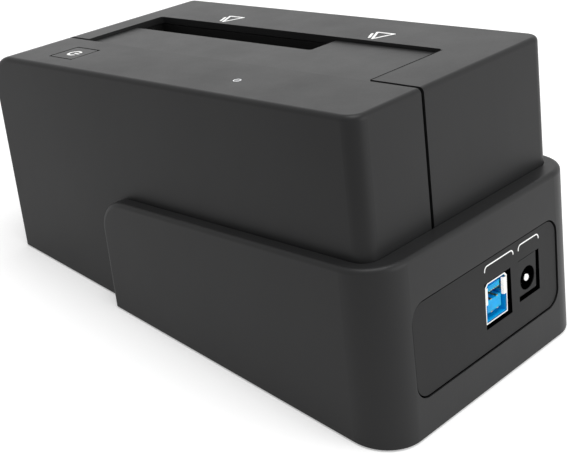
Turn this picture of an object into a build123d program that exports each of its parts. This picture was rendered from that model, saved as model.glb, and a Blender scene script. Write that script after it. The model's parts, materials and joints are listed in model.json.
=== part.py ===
"""Vertical docking station for one bare drive.

The casing leans towards its button end, so most of it is drawn in a frame of its own:
u runs along the top towards the ports, v across to the far side and w up out of the top plane,
with zero at the middle of the rear top edge. The part's own frame has +Z up, +X towards the
ports and its origin under the middle of its bounding box.
"""
import os
from math import atan2, cos, radians, sin, tan

from build123d import *

os.makedirs("parts", exist_ok=True)

# Casing
case_length = 135.5
case_width = 72.8
front_depth = 58.2
rear_drop = 20.0
case_wall = 2.0
front_round = 8.8
rear_corner_round = 4.2
edge_round = 1.3
side_draft_deg = 0.9
rear_draft_deg = 1.1
seam_place = -13.1
seam_gap = 1.05
tongue_thick = 1.2
tongue_reach = 2.0
tongue_root = 4.0
fit_gap = 0.15

# Base shoe: its steps out from the casing and its height above the casing's foot
shoe_length = 89.3
shoe_side_step = 3.8
shoe_rear = 5.5
shoe_height = 44.8
shoe_rear_round = 10.9
ledge_front_round = 9.0
ledge_edge_round = 1.3
foot_stand = 0.5

# Drive slot and its bay
slot_front_margin = 15.3
slot_rear_margin = 15.2
slot_width = 28.5
bay_step = 3.1
bay_wall = 1.2
bay_top_gap = 0.2
bay_hinge_gap = 0.7
floor_thick = 2.0
mouth_round = 1.2
ear_length = 8.0
ear_thick = 2.0
ear_depth = 9.0
ear_reach = 5.0
frame_boss_radius = 2.6

# Flap over the slot
flap_recess = 0.95
flap_thick = 1.8
flap_gap = 0.4
notch_rear_margin = 34.5
notch_width = 10.4
notch_round = 1.0
hinge_offset = 2.7
barrel_radius = 1.6
barrel_gap = 0.2
arm_gap = 0.1
rod_radius = 0.75
rod_clearance = 0.05
rod_end_gap = 0.6
lug_length = 4.0
lug_half = 1.7
knuckle_length = 8.0
knuckle_side_gap = 0.3
spring_wire = 0.25
spring_coil = 1.3
spring_pitch = 0.75

# Power button and its switch
button_from_front = 25.0
button_offset = 0.3
button_side = 9.2
button_gap = 0.5
button_recess = 0.02
button_flange = 1.0
button_flange_reach = 1.1
button_stem = 3.0
button_corner_round = 0.6
mark_radius = 2.15
mark_width = 0.85
mark_opening = 1.9
mark_depth = 0.4
mark_bar_length = 2.15
switch_side = 6.2
switch_height = 3.5
plunger_radius = 1.7
plunger_rise = 1.5
plunger_depth = 1.0
plunger_clearance = 0.08
plunger_room = 0.9
press_gap = 0.05

# Small boards under the near plate
small_board_depth = 12.0
small_board_thick = 1.2
small_board_wall_gap = 1.4
small_board_bay_gap = 1.6
button_board_half = 11.8
button_boss_offset = 9.1
light_offset = 1.05
light_radius = 1.1
light_flange = 2.4
light_flange_thick = 0.8
light_board_half = 9.0
light_boss_offset = 6.4
led_side = 3.0
led_height = 1.1
led_gap = 0.3
small_boss_radius = 2.2

# Upper board, which carries the drive connector
board_thick = 1.6
board_gap = 7.25
board_front_room = 5.2
sata_board_front = 3.5
sata_board_rear = 14.8
sata_board_near = 4.2
sata_board_far = 1.0
sata_post_front = 5.7
sata_post_rear = 9.0
sata_post_near = 3.5
sata_post_far = 2.8
sata_post_height = 3.5
sata_post_radius = 2.0

# Lower board, which carries the sockets
io_board_rear = 1.4
io_board_side = 7.0
io_board_cover_gap = 1.0
io_post_front = 4.0
io_post_rear = 11.6
io_post_side = 3.4
io_post_radius = 2.6

# Drive connector
sata_front_gap = 9.5
sata_wall_gap = 3.9
sata_width = 5.4
sata_height = 8.0
sata_end_wall = 3.6
sata_slot_width = 1.9
sata_slot_depth = 6.2
sata_slot_end = 1.5
sata_rib = 2.2
sata_margin = 0.5
sata_pitch = 1.27
sata_contact_width = 0.6
sata_contact_thick = 0.3
sata_contact_height = 5.0

# Link between the two boards
link_from_front = 10.0
link_length = 16.0
link_width = 4.0
link_bay_gap = 0.4
link_socket_height = 4.6
link_slot = 1.8
link_pin = 0.6
link_pin_rise = 4.0

# Port panel
panel_side_margin = 10.0
panel_height = 24.8
panel_rise = 20.8
panel_round = 4.6
panel_thick = 1.5
panel_inset = 0.3
panel_gap = 0.45
panel_border = 2.0

# USB socket
port_pitch = 13.8
port_lift = 0.5
usb_width = 9.2
usb_height = 10.9
usb_length = 17.0
usb_metal = 0.35
usb_clip = 0.9
usb_recess = 0.1
port_gap = 0.2
usb_side_gap = 1.75
jack_side_gap = 1.3
port_shadow_gap = 1.2
usb_back = 4.0
usb_tongue_width = 5.6
usb_tongue_height = 3.2
usb_tongue_drop = 1.6
usb_tongue_recess = 0.7
usb_step_width = 4.6
usb_step_height = 1.4
usb_step_rise = 3.2
usb_contact_width = 0.7
usb_contact_thick = 0.15
usb_step_contact_pitch = 0.9
usb_contact_offset = 1.25

# Power socket
jack_margin = 13.4
jack_width = 9.2
jack_height = 10.9
jack_length = 14.4
jack_nose_width = 7.8
jack_nose_height = 9.8
jack_nose_length = 3.6
jack_nose_lift = 0.75
jack_recess = 0.2
jack_drop = 0.2
jack_bore = 3.2
jack_bore_depth = 11.0
jack_pin = 1.05
jack_pin_length = 11.0
jack_contact_width = 2.4
jack_contact_thick = 0.4
jack_contact_length = 8.5

# Parts on the lower board
chip_side = 10.0
chip_height = 1.0
flash_length = 5.2
flash_width = 4.0
flash_height = 1.6
crystal_length = 11.0
crystal_width = 4.6
crystal_height = 3.4
capacitor_radius = 3.1
capacitor_height = 6.0
inductor_side = 7.0
inductor_height = 4.2
pin_header_length = 7.6
pin_header_width = 2.6
pin_header_height = 5.0

# Bottom cover and feet
cover_thick = 2.4
cover_gap = 0.2
cover_boss_radius = 3.2
cover_boss_height = 12.0
cover_boss_inset = 5.2
cover_boss_end = 15.0
foot_radius = 5.0
foot_sink = 1.0
foot_inset = 14.9
foot_end = 14.0

# Fasteners
screw_shank = 1.15
screw_head = 2.4
screw_head_height = 1.4
screw_pilot = 1.2
screw_pass = 1.5
screw_length = 9.0
small_shank = 0.9
small_head = 1.8
small_head_height = 1.2
small_pilot = 0.95
small_pass = 1.1
small_length = 4.4
cross_width = 0.6
cross_depth = 0.8
shoe_screw_drop = 15.6
shoe_screw_bite = 2.4

# Counts, and shares of the length of the slot, the casing, the shoe and the lower board
spring_turns = 6
sata_power_count = 15
sata_signal_count = 7
link_pin_count = 6
usb_step_contact_count = 5
reach_lengths = 2
cross_share = 1.5
front_edge_share = 0.75
light_share = 0.335
far_boss_shares = (0.19, 0.81)
near_boss_shares = (0.29, 0.53)
lug_shares = (0.007, 0.319, 0.675, 0.992)
shoe_screw_shares = (0.7, 0.25)
chip_shares = (0.225, 0.37)
flash_shares = (0.45, 0.281)
crystal_shares = (0.45, 0.464)
capacitor_shares = ((0.69, 0.17), (0.69, 0.33), (0.58, 0.75))
inductor_shares = (0.7, 0.62)
pin_header_shares = ((0.17, 0.135), (0.17, 0.205))

# Whole casing: its lean follows from its depths, its place from its foremost and rearmost points
rear_depth = front_depth + rear_drop
case_half = case_width / 2
tilt = atan2(rear_drop, case_length)
slope = tan(tilt)
side_lean = tan(radians(side_draft_deg))
rear_lean = tan(radians(rear_draft_deg))
reach = reach_lengths * case_length
front_point = (front_round - case_length) * cos(tilt) + front_round * sin(tilt) - front_round
shoe_rear_foot = (shoe_rear + rear_lean * rear_depth) / (1 - rear_lean * slope)
rear_point = shoe_rear_foot / cos(tilt) + rear_depth * sin(tilt)
shift = -(front_point + rear_point) / 2
lift = rear_depth * cos(tilt) + foot_stand


def under(u):
    """Height of the casing's bottom edge at a place along the case."""
    return -(rear_depth + slope * u)


def base_x(u):
    """Where a point of the bottom edge lies along X in the part's own frame."""
    return shift + u / cos(tilt) + rear_depth * sin(tilt)


def centred(place, size):
    """The two ends of a length about its middle."""
    return (place - size / 2, place + size / 2)


def shared(ends, share):
    """The place at a share of the way between two ends."""
    return ends[0] + share * (ends[1] - ends[0])


# Shoe, slot, bay and flap
shoe_half_width = case_half + shoe_side_step
ledge_depth = rear_depth - shoe_height
slot = (slot_front_margin - case_length, -slot_rear_margin)
slot_far = seam_place + slot_width
bay_near = seam_place - bay_step
bay_u = (slot[0] - bay_wall, slot[1] + bay_wall)
bay_v = (bay_near - bay_wall, slot_far + bay_wall)
ear_top = -ear_depth
frame_boss_near = bay_v[0] - ear_reach
frame_boss_far = bay_v[1] + ear_reach
far_boss_places = [shared(slot, share) for share in far_boss_shares]
near_boss_places = [shared(slot, share) for share in near_boss_shares]
notch_rear = slot[1] - notch_rear_margin
notch_near = slot_far - notch_width
hinge_v = seam_place - hinge_offset
hinge_w = -case_wall - barrel_gap - barrel_radius
arm_top = -case_wall - arm_gap
bay_top = -case_wall - bay_top_gap
bay_near_top = hinge_w - lug_half - bay_hinge_gap
lug_starts = [shared((slot[0], slot[1] - lug_length), share) for share in lug_shares]

# Button, light and their boards
near_middle = (seam_place - case_half) / 2
button_u = button_from_front - case_length
button_v = near_middle - button_offset
light_u = -light_share * case_length
light_v = near_middle - light_offset
small_board_v = (small_board_wall_gap + case_wall - case_half, bay_v[0] - small_board_bay_gap)
small_board_top = -small_board_depth
small_board_under = small_board_top - small_board_thick

# Port panel and sockets
panel_w = panel_rise - rear_depth
port_w = panel_w + port_lift
panel_half = shoe_half_width - panel_side_margin
jack_v = panel_half - jack_margin
usb_v = jack_v - port_pitch
panel_face = shoe_rear - rear_lean * port_w - panel_inset
usb_front = panel_face - usb_recess
jack_front = panel_face - jack_recess
jack_w = port_w - jack_drop
jack_nose_v = centred(jack_v, jack_nose_width)
jack_nose_w = centred(port_w + jack_nose_lift, jack_nose_height)

# Lower board: its front end stops where the rising bottom cover leaves it room
io_board_top = port_w - usb_height / 2
io_board_under = io_board_top - board_thick
io_board_room = rear_depth + io_board_under - (cover_thick + io_board_cover_gap) / cos(tilt)
io_board_u = (-io_board_room / slope, -case_wall - io_board_rear)
io_board_v = (io_board_side + case_wall - case_half, case_half - case_wall - io_board_side)
io_post_u = (io_board_u[0] + io_post_front, io_board_u[1] - io_post_rear)
io_post_v = (io_board_v[0] + io_post_side, io_board_v[1] - io_post_side)

# Drive connector, and the link beside the bay
sata_power_length = sata_pitch * (sata_power_count - 1) + sata_contact_width + sata_slot_end + sata_slot_end
sata_signal_length = sata_pitch * (sata_signal_count - 1) + sata_contact_width + sata_slot_end + sata_slot_end
sata_slots_length = sata_power_length + sata_rib + sata_signal_length
sata_length = sata_slots_length + sata_end_wall + sata_end_wall
sata_u = slot[0] + sata_front_gap + sata_length / 2
sata_v = slot_far - sata_wall_gap
link_u = (io_board_u[0] + link_from_front, io_board_u[0] + link_from_front + link_length)
link_v = (bay_v[1] + link_bay_gap, bay_v[1] + link_bay_gap + link_width)

# Upper board: as low as the bottom cover at its front and the lower board's parts let it lie
sata_post_u = (slot[0] + sata_post_front, slot[1] - sata_board_rear - sata_post_rear)
sata_board_u = (sata_post_u[0] - sata_board_front, slot[1] - sata_board_rear)
sata_board_v = (bay_near + sata_board_near, link_v[1] + sata_board_far)
sata_post_v = (sata_board_v[0] + sata_post_near, slot_far - sata_post_far)
sata_board_under = max(under(sata_board_u[0]) + board_front_room, io_board_top + board_gap)
sata_board_top = sata_board_under + board_thick
sata_top = sata_board_top + sata_height
bay_floor = sata_board_top + sata_post_height
floor_under = bay_floor - floor_thick

# Bottom cover, feet and the screws round them
cover_boss_side = case_half - cover_boss_inset
foot_side = case_half - foot_inset
foot_x = (base_x(-case_length) + foot_end, base_x(0) - foot_end)
boss_x = (base_x(-case_length) + cover_boss_end, base_x(0) - cover_boss_end)
shoe_screw_places = [-share * shoe_length for share in shoe_screw_shares]
shoe_screw_w = -ledge_depth - shoe_screw_drop

# The leaning frame's directions and planes
case_origin = (shift, 0, lift)
along = Vector(cos(tilt), 0, sin(tilt))
upward = Vector(-sin(tilt), 0, cos(tilt))
across = Vector(0, 1, 0)
CASE = Plane(origin=case_origin, x_dir=along, z_dir=upward)
SIDE = Plane(origin=case_origin, x_dir=along, z_dir=-across)
CROSS = Plane(origin=case_origin, x_dir=across, z_dir=along)
BASE = Plane.XY.offset(foot_stand)
rear_normal = along * cos(radians(rear_draft_deg)) + upward * sin(radians(rear_draft_deg))
rear_face_origin = Vector(*case_origin) + along * shoe_rear
REAR = Plane(origin=rear_face_origin, x_dir=across, z_dir=rear_normal)


def block(u, v, w, mode=Mode.ADD):
    """A box between two values of each of the leaning frame's coordinates."""
    with BuildSketch(CASE.offset(w[0])) as outline:
        with Locations(((u[0] + u[1]) / 2, (v[0] + v[1]) / 2)):
            Rectangle(u[1] - u[0], v[1] - v[0])
    extrude(outline.sketch, amount=w[1] - w[0], mode=mode)


def post(u, v, w, radius, mode=Mode.ADD):
    """A round post or hole square to the top plane."""
    with BuildSketch(CASE.offset(w[0])) as outline:
        with Locations((u, v)):
            Circle(radius)
    extrude(outline.sketch, amount=w[1] - w[0], mode=mode)


def rod(v, w, u, radius, mode=Mode.ADD):
    """A round bar or hole along the case."""
    with BuildSketch(CROSS.offset(u[0])) as outline:
        with Locations((v, w)):
            Circle(radius)
    extrude(outline.sketch, amount=u[1] - u[0], mode=mode)


def upright(x, y, z, radius, mode=Mode.ADD):
    """A round post or hole square to the ground."""
    with BuildSketch(Plane.XY.offset(z[0])) as outline:
        with Locations((x, y)):
            Circle(radius)
    extrude(outline.sketch, amount=z[1] - z[0], mode=mode)


def screw(seat, length, shank, head, head_height):
    """A cross-head screw: the seat plane lies under its head and faces along its shank."""
    with BuildSketch(seat) as outline:
        Circle(shank)
    extrude(outline.sketch, amount=length)
    with BuildSketch(seat) as outline:
        Circle(head)
    extrude(outline.sketch, amount=-head_height)
    with BuildSketch(seat.offset(-head_height)) as outline:
        Rectangle(cross_share * head, cross_width)
        Rectangle(cross_width, cross_share * head)
    extrude(outline.sketch, amount=cross_depth, mode=Mode.SUBTRACT)


def small_screw(u, v, w, facing):
    """A small screw at a place of the leaning frame, its shank up (1) or down (-1)."""
    seat = Plane(origin=CASE.from_local_coords((u, v, w)), x_dir=along, z_dir=upward * facing)
    screw(seat, small_length, small_shank, small_head, small_head_height)


def case_side(grow, drop):
    """The casing's side outline, grown on every edge, its bottom lowered by a drop."""
    front = -case_length - grow
    foot = rear_lean * rear_depth / (1 - rear_lean * slope) + grow
    with BuildSketch(SIDE) as outline:
        with BuildLine():
            Polyline(
                (grow, grow),
                (front, grow),
                (front, under(front) - drop),
                (foot + rear_lean * drop, under(foot) - drop),
                close=True,
            )
        make_face()
        front_top = vertices().group_by(Axis.X)[0].sort_by(Axis.Y)[-1]
        fillet(front_top, front_round + grow)
    extrude(outline.sketch, amount=reach, both=True)


def case_solid(grow, drop, corner):
    """The casing as one solid, with its side draft and its two upright rear corners rounded."""
    with BuildPart() as solid:
        case_side(grow, drop)
        half = case_half + grow
        with BuildSketch(CROSS) as outline:
            with BuildLine():
                Polyline(
                    (-half - side_lean * reach, -reach),
                    (-half, 0),
                    (-half + side_lean * reach, reach),
                    (half - side_lean * reach, reach),
                    (half, 0),
                    (half + side_lean * reach, -reach),
                    close=True,
                )
            make_face()
        extrude(outline.sketch, amount=reach, both=True, mode=Mode.INTERSECT)
        if corner:
            fillet(solid.edges().filter_by(rear_upright), corner)
    return solid.part


def local(edge):
    """An edge's middle in the leaning frame."""
    return CASE.to_local_coords(edge.center())


def rear_upright(edge):
    """Whether an edge is one of the casing's upright rear corners."""
    middle = local(edge)
    far_back = middle.X > -rear_corner_round
    return far_back and abs(middle.Y) > case_half - rear_corner_round and middle.Z < -edge_round


def skin_edge(edge):
    """Whether an edge bounds the casing's top or its front, and so is rounded."""
    middle = local(edge)
    beside = abs(middle.Y) > case_half - edge_round
    top = middle.Z > -edge_round and (beside or middle.X > -rear_corner_round)
    front = beside and middle.X < front_round - case_length and middle.Z > -front_depth * front_edge_share
    return top or front


# Casing shapes that both halves share
with BuildPart() as casing:
    add(case_solid(0, 0, rear_corner_round))
    fillet(casing.edges().filter_by(skin_edge), edge_round)
cavity = case_solid(-case_wall, rear_depth, 0)
near_side = (-reach, seam_place - seam_gap / 2)
far_side = (seam_place + seam_gap / 2, reach)
everywhere = (-reach, reach)
cover_top = foot_stand + cover_thick
pilot_top = cover_top + screw_length


def cover_bosses(side):
    """Bosses beside the wall that take the screws of the bottom cover."""
    for x in boss_x:
        upright(x, side * cover_boss_side, (cover_top, cover_top + cover_boss_height), cover_boss_radius)
        with BuildSketch(Plane.XY.offset(cover_top)) as outline:
            with Locations((x, side * (cover_boss_side + case_half) / 2)):
                Rectangle(cover_boss_radius, case_half - cover_boss_side)
        extrude(outline.sketch, amount=cover_boss_height)
    for x in boss_x:
        upright(x, side * cover_boss_side, (cover_top, pilot_top), screw_pilot, Mode.SUBTRACT)


def shoe_screw_holes(side):
    """Holes in the side wall for the screws that hold the base shoe."""
    for u in shoe_screw_places:
        seat_origin = CASE.from_local_coords((u, 0, shoe_screw_w))
        seat = Plane(origin=seat_origin, x_dir=along, z_dir=across * side)
        with BuildSketch(seat) as outline:
            Circle(screw_pass)
        extrude(outline.sketch, amount=case_width, mode=Mode.SUBTRACT)


def wall_window(v, mode=Mode.SUBTRACT):
    """The opening in the rear wall behind the port panel, for the sockets."""
    tall = centred(panel_w, panel_height - panel_border - panel_border)
    block((-rear_corner_round, shoe_rear), v, tall, mode)


# Near half of the casing, with the button and light holes and the flap's hinge lugs
with BuildPart() as near_shell:
    add(casing.part)
    block(everywhere, near_side, everywhere, Mode.INTERSECT)
    add(cavity, mode=Mode.SUBTRACT)
    tongue_near = (seam_place - tongue_root, near_side[1])
    tongue_far = (near_side[1] - seam_gap, seam_place + tongue_reach)
    tongue_w = (-front_depth + cover_thick + tongue_root, -front_round)
    tongue_u = -case_length + case_wall
    block((tongue_u - fit_gap, tongue_u + fit_gap + tongue_thick), tongue_near, tongue_w)
    block((tongue_u + fit_gap, tongue_u + fit_gap + tongue_thick), tongue_far, tongue_w)
    for start in lug_starts:
        lug_u = (start, start + lug_length)
        block(lug_u, (hinge_v - lug_half, hinge_v + lug_half), (hinge_w, -case_wall / 2))
        rod(hinge_v, hinge_w, lug_u, lug_half)
    rod(hinge_v, hinge_w, slot, rod_radius + rod_clearance, Mode.SUBTRACT)
    for u in near_boss_places:
        post(u, frame_boss_near, (ear_top, -case_wall / 2), frame_boss_radius)
        post(u, frame_boss_near, (ear_top, ear_top + small_length), small_pilot, Mode.SUBTRACT)
    button_boss_places = (button_u - button_boss_offset, button_u + button_boss_offset)
    light_boss_places = (light_u - light_boss_offset, light_u + light_boss_offset)
    small_bosses = [(u, button_v) for u in button_boss_places] + [(u, light_v) for u in light_boss_places]
    for u, v in small_bosses:
        post(u, v, (small_board_top, -case_wall / 2), small_boss_radius)
        post(u, v, (small_board_top, small_board_top + small_length), small_pilot, Mode.SUBTRACT)
    hole_side = button_side + button_gap + button_gap
    block(centred(button_u, hole_side), centred(button_v, hole_side), (-case_wall, case_wall), Mode.SUBTRACT)
    post(light_u, light_v, (-case_wall, case_wall), light_radius + rod_clearance, Mode.SUBTRACT)
    cover_bosses(-1)
    shoe_screw_holes(-1)
    wall_window((panel_border - panel_half, seam_place))
near_shell.part.label = "near_shell"
export_step(near_shell.part, "parts/near_shell.step")


# Far half of the casing, with the drive slot
with BuildPart() as far_shell:
    add(casing.part)
    block(everywhere, far_side, everywhere, Mode.INTERSECT)
    add(cavity, mode=Mode.SUBTRACT)
    block(slot, (seam_place - seam_gap, slot_far), (-case_wall - case_wall, case_wall), Mode.SUBTRACT)
    corners = far_shell.edges().filter_by(
        lambda edge: abs(local(edge).Y - slot_far) < fit_gap and abs(local(edge).Z + case_wall / 2) < fit_gap
    )
    fillet(corners, mouth_round)
    for u in far_boss_places:
        post(u, frame_boss_far, (ear_top, -case_wall / 2), frame_boss_radius)
        post(u, frame_boss_far, (ear_top, ear_top + small_length), small_pilot, Mode.SUBTRACT)
    cover_bosses(1)
    shoe_screw_holes(1)
    wall_window((seam_place, panel_half - panel_border))
far_shell.part.label = "far_shell"
export_step(far_shell.part, "parts/far_shell.step")


def shoe_outline(sketch_plane, bottom):
    """The base shoe's outer solid below its ledge, with rounded upright corners."""
    with BuildSketch(sketch_plane) as outline:
        with BuildLine():
            Polyline(
                (-shoe_length, -ledge_depth),
                (shoe_rear + rear_lean * ledge_depth, -ledge_depth),
                (shoe_rear_foot, under(shoe_rear_foot)),
                (-shoe_length, bottom),
                close=True,
            )
        make_face()
        front_top = vertices().group_by(Axis.X)[0].sort_by(Axis.Y)[-1]
        fillet(front_top, ledge_front_round)
    extrude(outline.sketch, amount=reach, both=True)


def shoe_upright(edge):
    """Whether an edge is one of the shoe's upright rear corners."""
    middle = local(edge)
    return middle.X > shoe_rear and abs(middle.Y) > shoe_half_width and middle.Z < -ledge_depth - fit_gap


def shoe_rim(edge):
    """Whether an edge is on the outer rim, which runs round the ledge and down the front corners."""
    middle = local(edge)
    beside = abs(middle.Y) > shoe_half_width - fit_gap
    ledge = abs(middle.Z + ledge_depth) < fit_gap and (beside or middle.X > shoe_rear - shoe_rear_round)
    return ledge or (beside and middle.X < ledge_front_round - shoe_length)


# Base shoe round the rear of the casing
with BuildPart() as base_shoe:
    shoe_outline(SIDE, under(-shoe_length))
    with BuildSketch(CROSS):
        with BuildLine():
            Polyline(
                (-shoe_half_width, 0),
                (shoe_half_width, 0),
                (shoe_half_width + side_lean * reach, -reach),
                (-shoe_half_width - side_lean * reach, -reach),
                close=True,
            )
        make_face()
    extrude(amount=reach, both=True, mode=Mode.INTERSECT)
    fillet(base_shoe.edges().filter_by(shoe_upright), shoe_rear_round)
    fillet(base_shoe.edges().filter_by(shoe_rim), ledge_edge_round)
    add(case_solid(fit_gap, rear_depth, rear_corner_round + fit_gap), mode=Mode.SUBTRACT)
    with BuildSketch(REAR):
        with Locations((0, panel_w)):
            RectangleRounded(panel_half + panel_half, panel_height, panel_round)
    extrude(amount=-panel_inset - panel_thick, mode=Mode.SUBTRACT)
    with BuildSketch(REAR):
        with Locations((0, panel_w)):
            opening_half = panel_half - panel_border
            opening_height = panel_height - panel_border - panel_border
            RectangleRounded(opening_half + opening_half, opening_height, panel_round - panel_border)
    extrude(amount=-reach, mode=Mode.SUBTRACT)
    for side in (-1, 1):
        for u in shoe_screw_places:
            start = case_half - side_lean * shoe_screw_w
            seat_origin = CASE.from_local_coords((u, side * start, shoe_screw_w))
            with BuildSketch(Plane(origin=seat_origin, x_dir=along, z_dir=across * side)):
                Circle(screw_pilot)
            extrude(amount=shoe_screw_bite + fit_gap, mode=Mode.SUBTRACT)
base_shoe.part.label = "base_shoe"
export_step(base_shoe.part, "parts/base_shoe.step")


# Port panel with its two socket holes
usb_hole_v = (usb_v - usb_width / 2 - port_gap, usb_v + usb_width / 2 + usb_side_gap)
jack_hole_v = (jack_nose_v[0] - port_gap, jack_nose_v[1] + jack_side_gap)
usb_hole_w = (port_w - usb_height / 2 - port_shadow_gap, port_w + usb_height / 2 + port_gap)
jack_hole_w = (jack_nose_w[0] - port_shadow_gap, jack_nose_w[1] + port_gap)
with BuildPart() as port_panel:
    with BuildSketch(REAR.offset(-panel_inset - panel_thick)):
        with Locations((0, panel_w)):
            plate_half = panel_half - panel_gap
            plate_height = panel_height - panel_gap - panel_gap
            RectangleRounded(plate_half + plate_half, plate_height, panel_round - panel_gap)
    extrude(amount=panel_thick)
    block((0, reach), usb_hole_v, usb_hole_w, Mode.SUBTRACT)
    block((0, reach), jack_hole_v, jack_hole_w, Mode.SUBTRACT)
port_panel.part.label = "port_panel"
export_step(port_panel.part, "parts/port_panel.step")


# Bottom cover with its screw holes, foot pockets and posts for the lower board
wall_foot = rear_lean * rear_depth / (1 - rear_lean * slope) - case_wall
cover_front = base_x(case_wall - case_length) + cover_gap
cover_rear = base_x(wall_foot) - tan(tilt + radians(rear_draft_deg)) * cover_thick - cover_gap
cover_half = case_half - case_wall + side_lean * (front_depth - cover_thick) - cover_gap
head_seat = foot_stand + screw_head_height + press_gap
with BuildPart() as bottom_cover:
    for u in io_post_u:
        for v in io_post_v:
            post(u, v, (io_board_under, under(u)), io_post_radius)
    with BuildSketch(Plane.XY.offset(-reach)):
        Rectangle(reach, reach)
    extrude(amount=reach + foot_stand, mode=Mode.SUBTRACT)
    with BuildSketch(BASE):
        with Locations(((cover_front + cover_rear) / 2, 0)):
            Rectangle(cover_rear - cover_front, cover_half + cover_half)
    extrude(amount=cover_thick)
    for u in io_post_u:
        for v in io_post_v:
            post(u, v, (io_board_under, io_board_top - small_length - press_gap), small_pilot, Mode.SUBTRACT)
    for side in (-1, 1):
        for x in boss_x:
            upright(x, side * cover_boss_side, (0, cover_top), screw_pass, Mode.SUBTRACT)
            upright(x, side * cover_boss_side, (0, head_seat), screw_head + fit_gap, Mode.SUBTRACT)
        for x in foot_x:
            pocket = foot_radius + rod_clearance
            upright(x, side * foot_side, (0, foot_stand + foot_sink), pocket, Mode.SUBTRACT)
bottom_cover.part.label = "bottom_cover"
export_step(bottom_cover.part, "parts/bottom_cover.step")


# Rubber feet, standing a little below the cover
with BuildPart() as rubber_feet:
    for side in (-1, 1):
        for x in foot_x:
            upright(x, side * foot_side, (0, foot_stand + foot_sink), foot_radius)
    fillet(rubber_feet.faces().filter_by(Plane.XY).group_by(Axis.Z)[0].edges(), foot_stand / 2)
rubber_feet.part.label = "rubber_feet"
export_step(rubber_feet.part, "parts/rubber_feet.step")


# Screws of the bottom cover
with BuildPart() as case_screws:
    for side in (-1, 1):
        for x in boss_x:
            seat = Plane(origin=(x, side * cover_boss_side, head_seat), x_dir=(1, 0, 0), z_dir=(0, 0, 1))
            screw(seat, screw_length, screw_shank, screw_head, screw_head_height)
case_screws.part.label = "case_screws"
export_step(case_screws.part, "parts/case_screws.step")


# Screws that hold the shoe to the casing from inside
with BuildPart() as shoe_screws:
    for side in (-1, 1):
        for u in shoe_screw_places:
            inner = case_half - case_wall - side_lean * (shoe_screw_w + screw_head)
            seat_origin = CASE.from_local_coords((u, side * inner, shoe_screw_w))
            seat = Plane(origin=seat_origin, x_dir=along, z_dir=across * side)
            screw(seat, case_wall + shoe_screw_bite, screw_shank, screw_head, screw_head_height)
shoe_screws.part.label = "shoe_screws"
export_step(shoe_screws.part, "parts/shoe_screws.step")


# Bay frame that guides the drive down to its connector
hole_u = centred(sata_u, sata_length + sata_margin + sata_margin)
hole_v = centred(sata_v, sata_width + sata_margin + sata_margin)
sata_pilot_top = sata_board_under + small_length + press_gap
with BuildPart() as bay_frame:
    block(bay_u, bay_v, (floor_under, bay_top))
    block(slot, (bay_near, slot_far), (bay_floor, 0), Mode.SUBTRACT)
    block(everywhere, (-reach, seam_place + flap_gap), (bay_near_top, reach), Mode.SUBTRACT)
    block(hole_u, hole_v, (-reach, 0), Mode.SUBTRACT)
    for u in far_boss_places:
        block(centred(u, ear_length), (slot_far + bay_wall / 2, frame_boss_far + frame_boss_radius),
              (ear_top - ear_thick, ear_top))
        post(u, frame_boss_far, (-reach, 0), small_pass, Mode.SUBTRACT)
    for u in near_boss_places:
        block(centred(u, ear_length), (frame_boss_near - frame_boss_radius, bay_near - bay_wall / 2),
              (ear_top - ear_thick, ear_top))
        post(u, frame_boss_near, (-reach, 0), small_pass, Mode.SUBTRACT)
    for u in sata_post_u:
        for v in sata_post_v:
            post(u, v, (sata_board_top, bay_floor - floor_thick / 2), sata_post_radius)
            post(u, v, (sata_board_top, sata_pilot_top), small_pilot, Mode.SUBTRACT)
bay_frame.part.label = "bay_frame"
export_step(bay_frame.part, "parts/bay_frame.step")


# Screws through the bay frame's ears
with BuildPart() as frame_screws:
    for u in far_boss_places:
        small_screw(u, frame_boss_far, ear_top - ear_thick, 1)
    for u in near_boss_places:
        small_screw(u, frame_boss_near, ear_top - ear_thick, 1)
frame_screws.part.label = "frame_screws"
export_step(frame_screws.part, "parts/frame_screws.step")


# Slot flap with its notch for thin drives and its hinge knuckles
flap_u = (slot[0] + flap_gap, slot[1] - flap_gap)
flap_v = (seam_place + flap_gap, slot_far - flap_gap)
flap_w = (-flap_recess - flap_thick, -flap_recess)
knuckle_starts = [start + lug_length + knuckle_side_gap for start in lug_starts[:-1]]
with BuildPart() as slot_flap:
    block(flap_u, flap_v, flap_w)
    block((-reach, notch_rear), (notch_near, reach), everywhere, Mode.SUBTRACT)
    inner_corner = slot_flap.edges().filter_by(
        lambda edge: abs(local(edge).X - notch_rear) < fit_gap and abs(local(edge).Y - notch_near) < fit_gap
    )
    fillet(inner_corner, notch_round)
    for start in knuckle_starts:
        knuckle_u = (start, start + knuckle_length)
        rod(hinge_v, hinge_w, knuckle_u, barrel_radius)
        block(knuckle_u, (hinge_v, flap_v[0] + flap_gap), (hinge_w, arm_top))
    rod(hinge_v, hinge_w, (-reach, reach), rod_radius + rod_clearance, Mode.SUBTRACT)
slot_flap.part.label = "slot_flap"
export_step(slot_flap.part, "parts/slot_flap.step")


# Steel rod of the flap's hinge
with BuildPart() as hinge_rod:
    rod(hinge_v, hinge_w, (slot[0] + rod_end_gap, slot[1] - rod_end_gap), rod_radius)
hinge_rod.part.label = "hinge_rod"
export_step(hinge_rod.part, "parts/hinge_rod.step")


# Torsion springs round the hinge rod, each with the leg that lies against the casing
spring_starts = [start + knuckle_length + knuckle_side_gap for start in knuckle_starts[1:]]
with BuildPart() as flap_springs:
    for start in spring_starts:
        with BuildLine():
            coil = Helix(
                pitch=spring_pitch,
                height=spring_pitch * spring_turns,
                radius=spring_coil,
                center=CASE.from_local_coords((start + spring_wire, hinge_v, hinge_w)),
                direction=along,
            )
        with BuildSketch(Plane(origin=coil @ 0, z_dir=coil % 0)):
            Circle(spring_wire)
        sweep(path=coil)
flap_springs.part.label = "flap_springs"
export_step(flap_springs.part, "parts/flap_springs.step")


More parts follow.
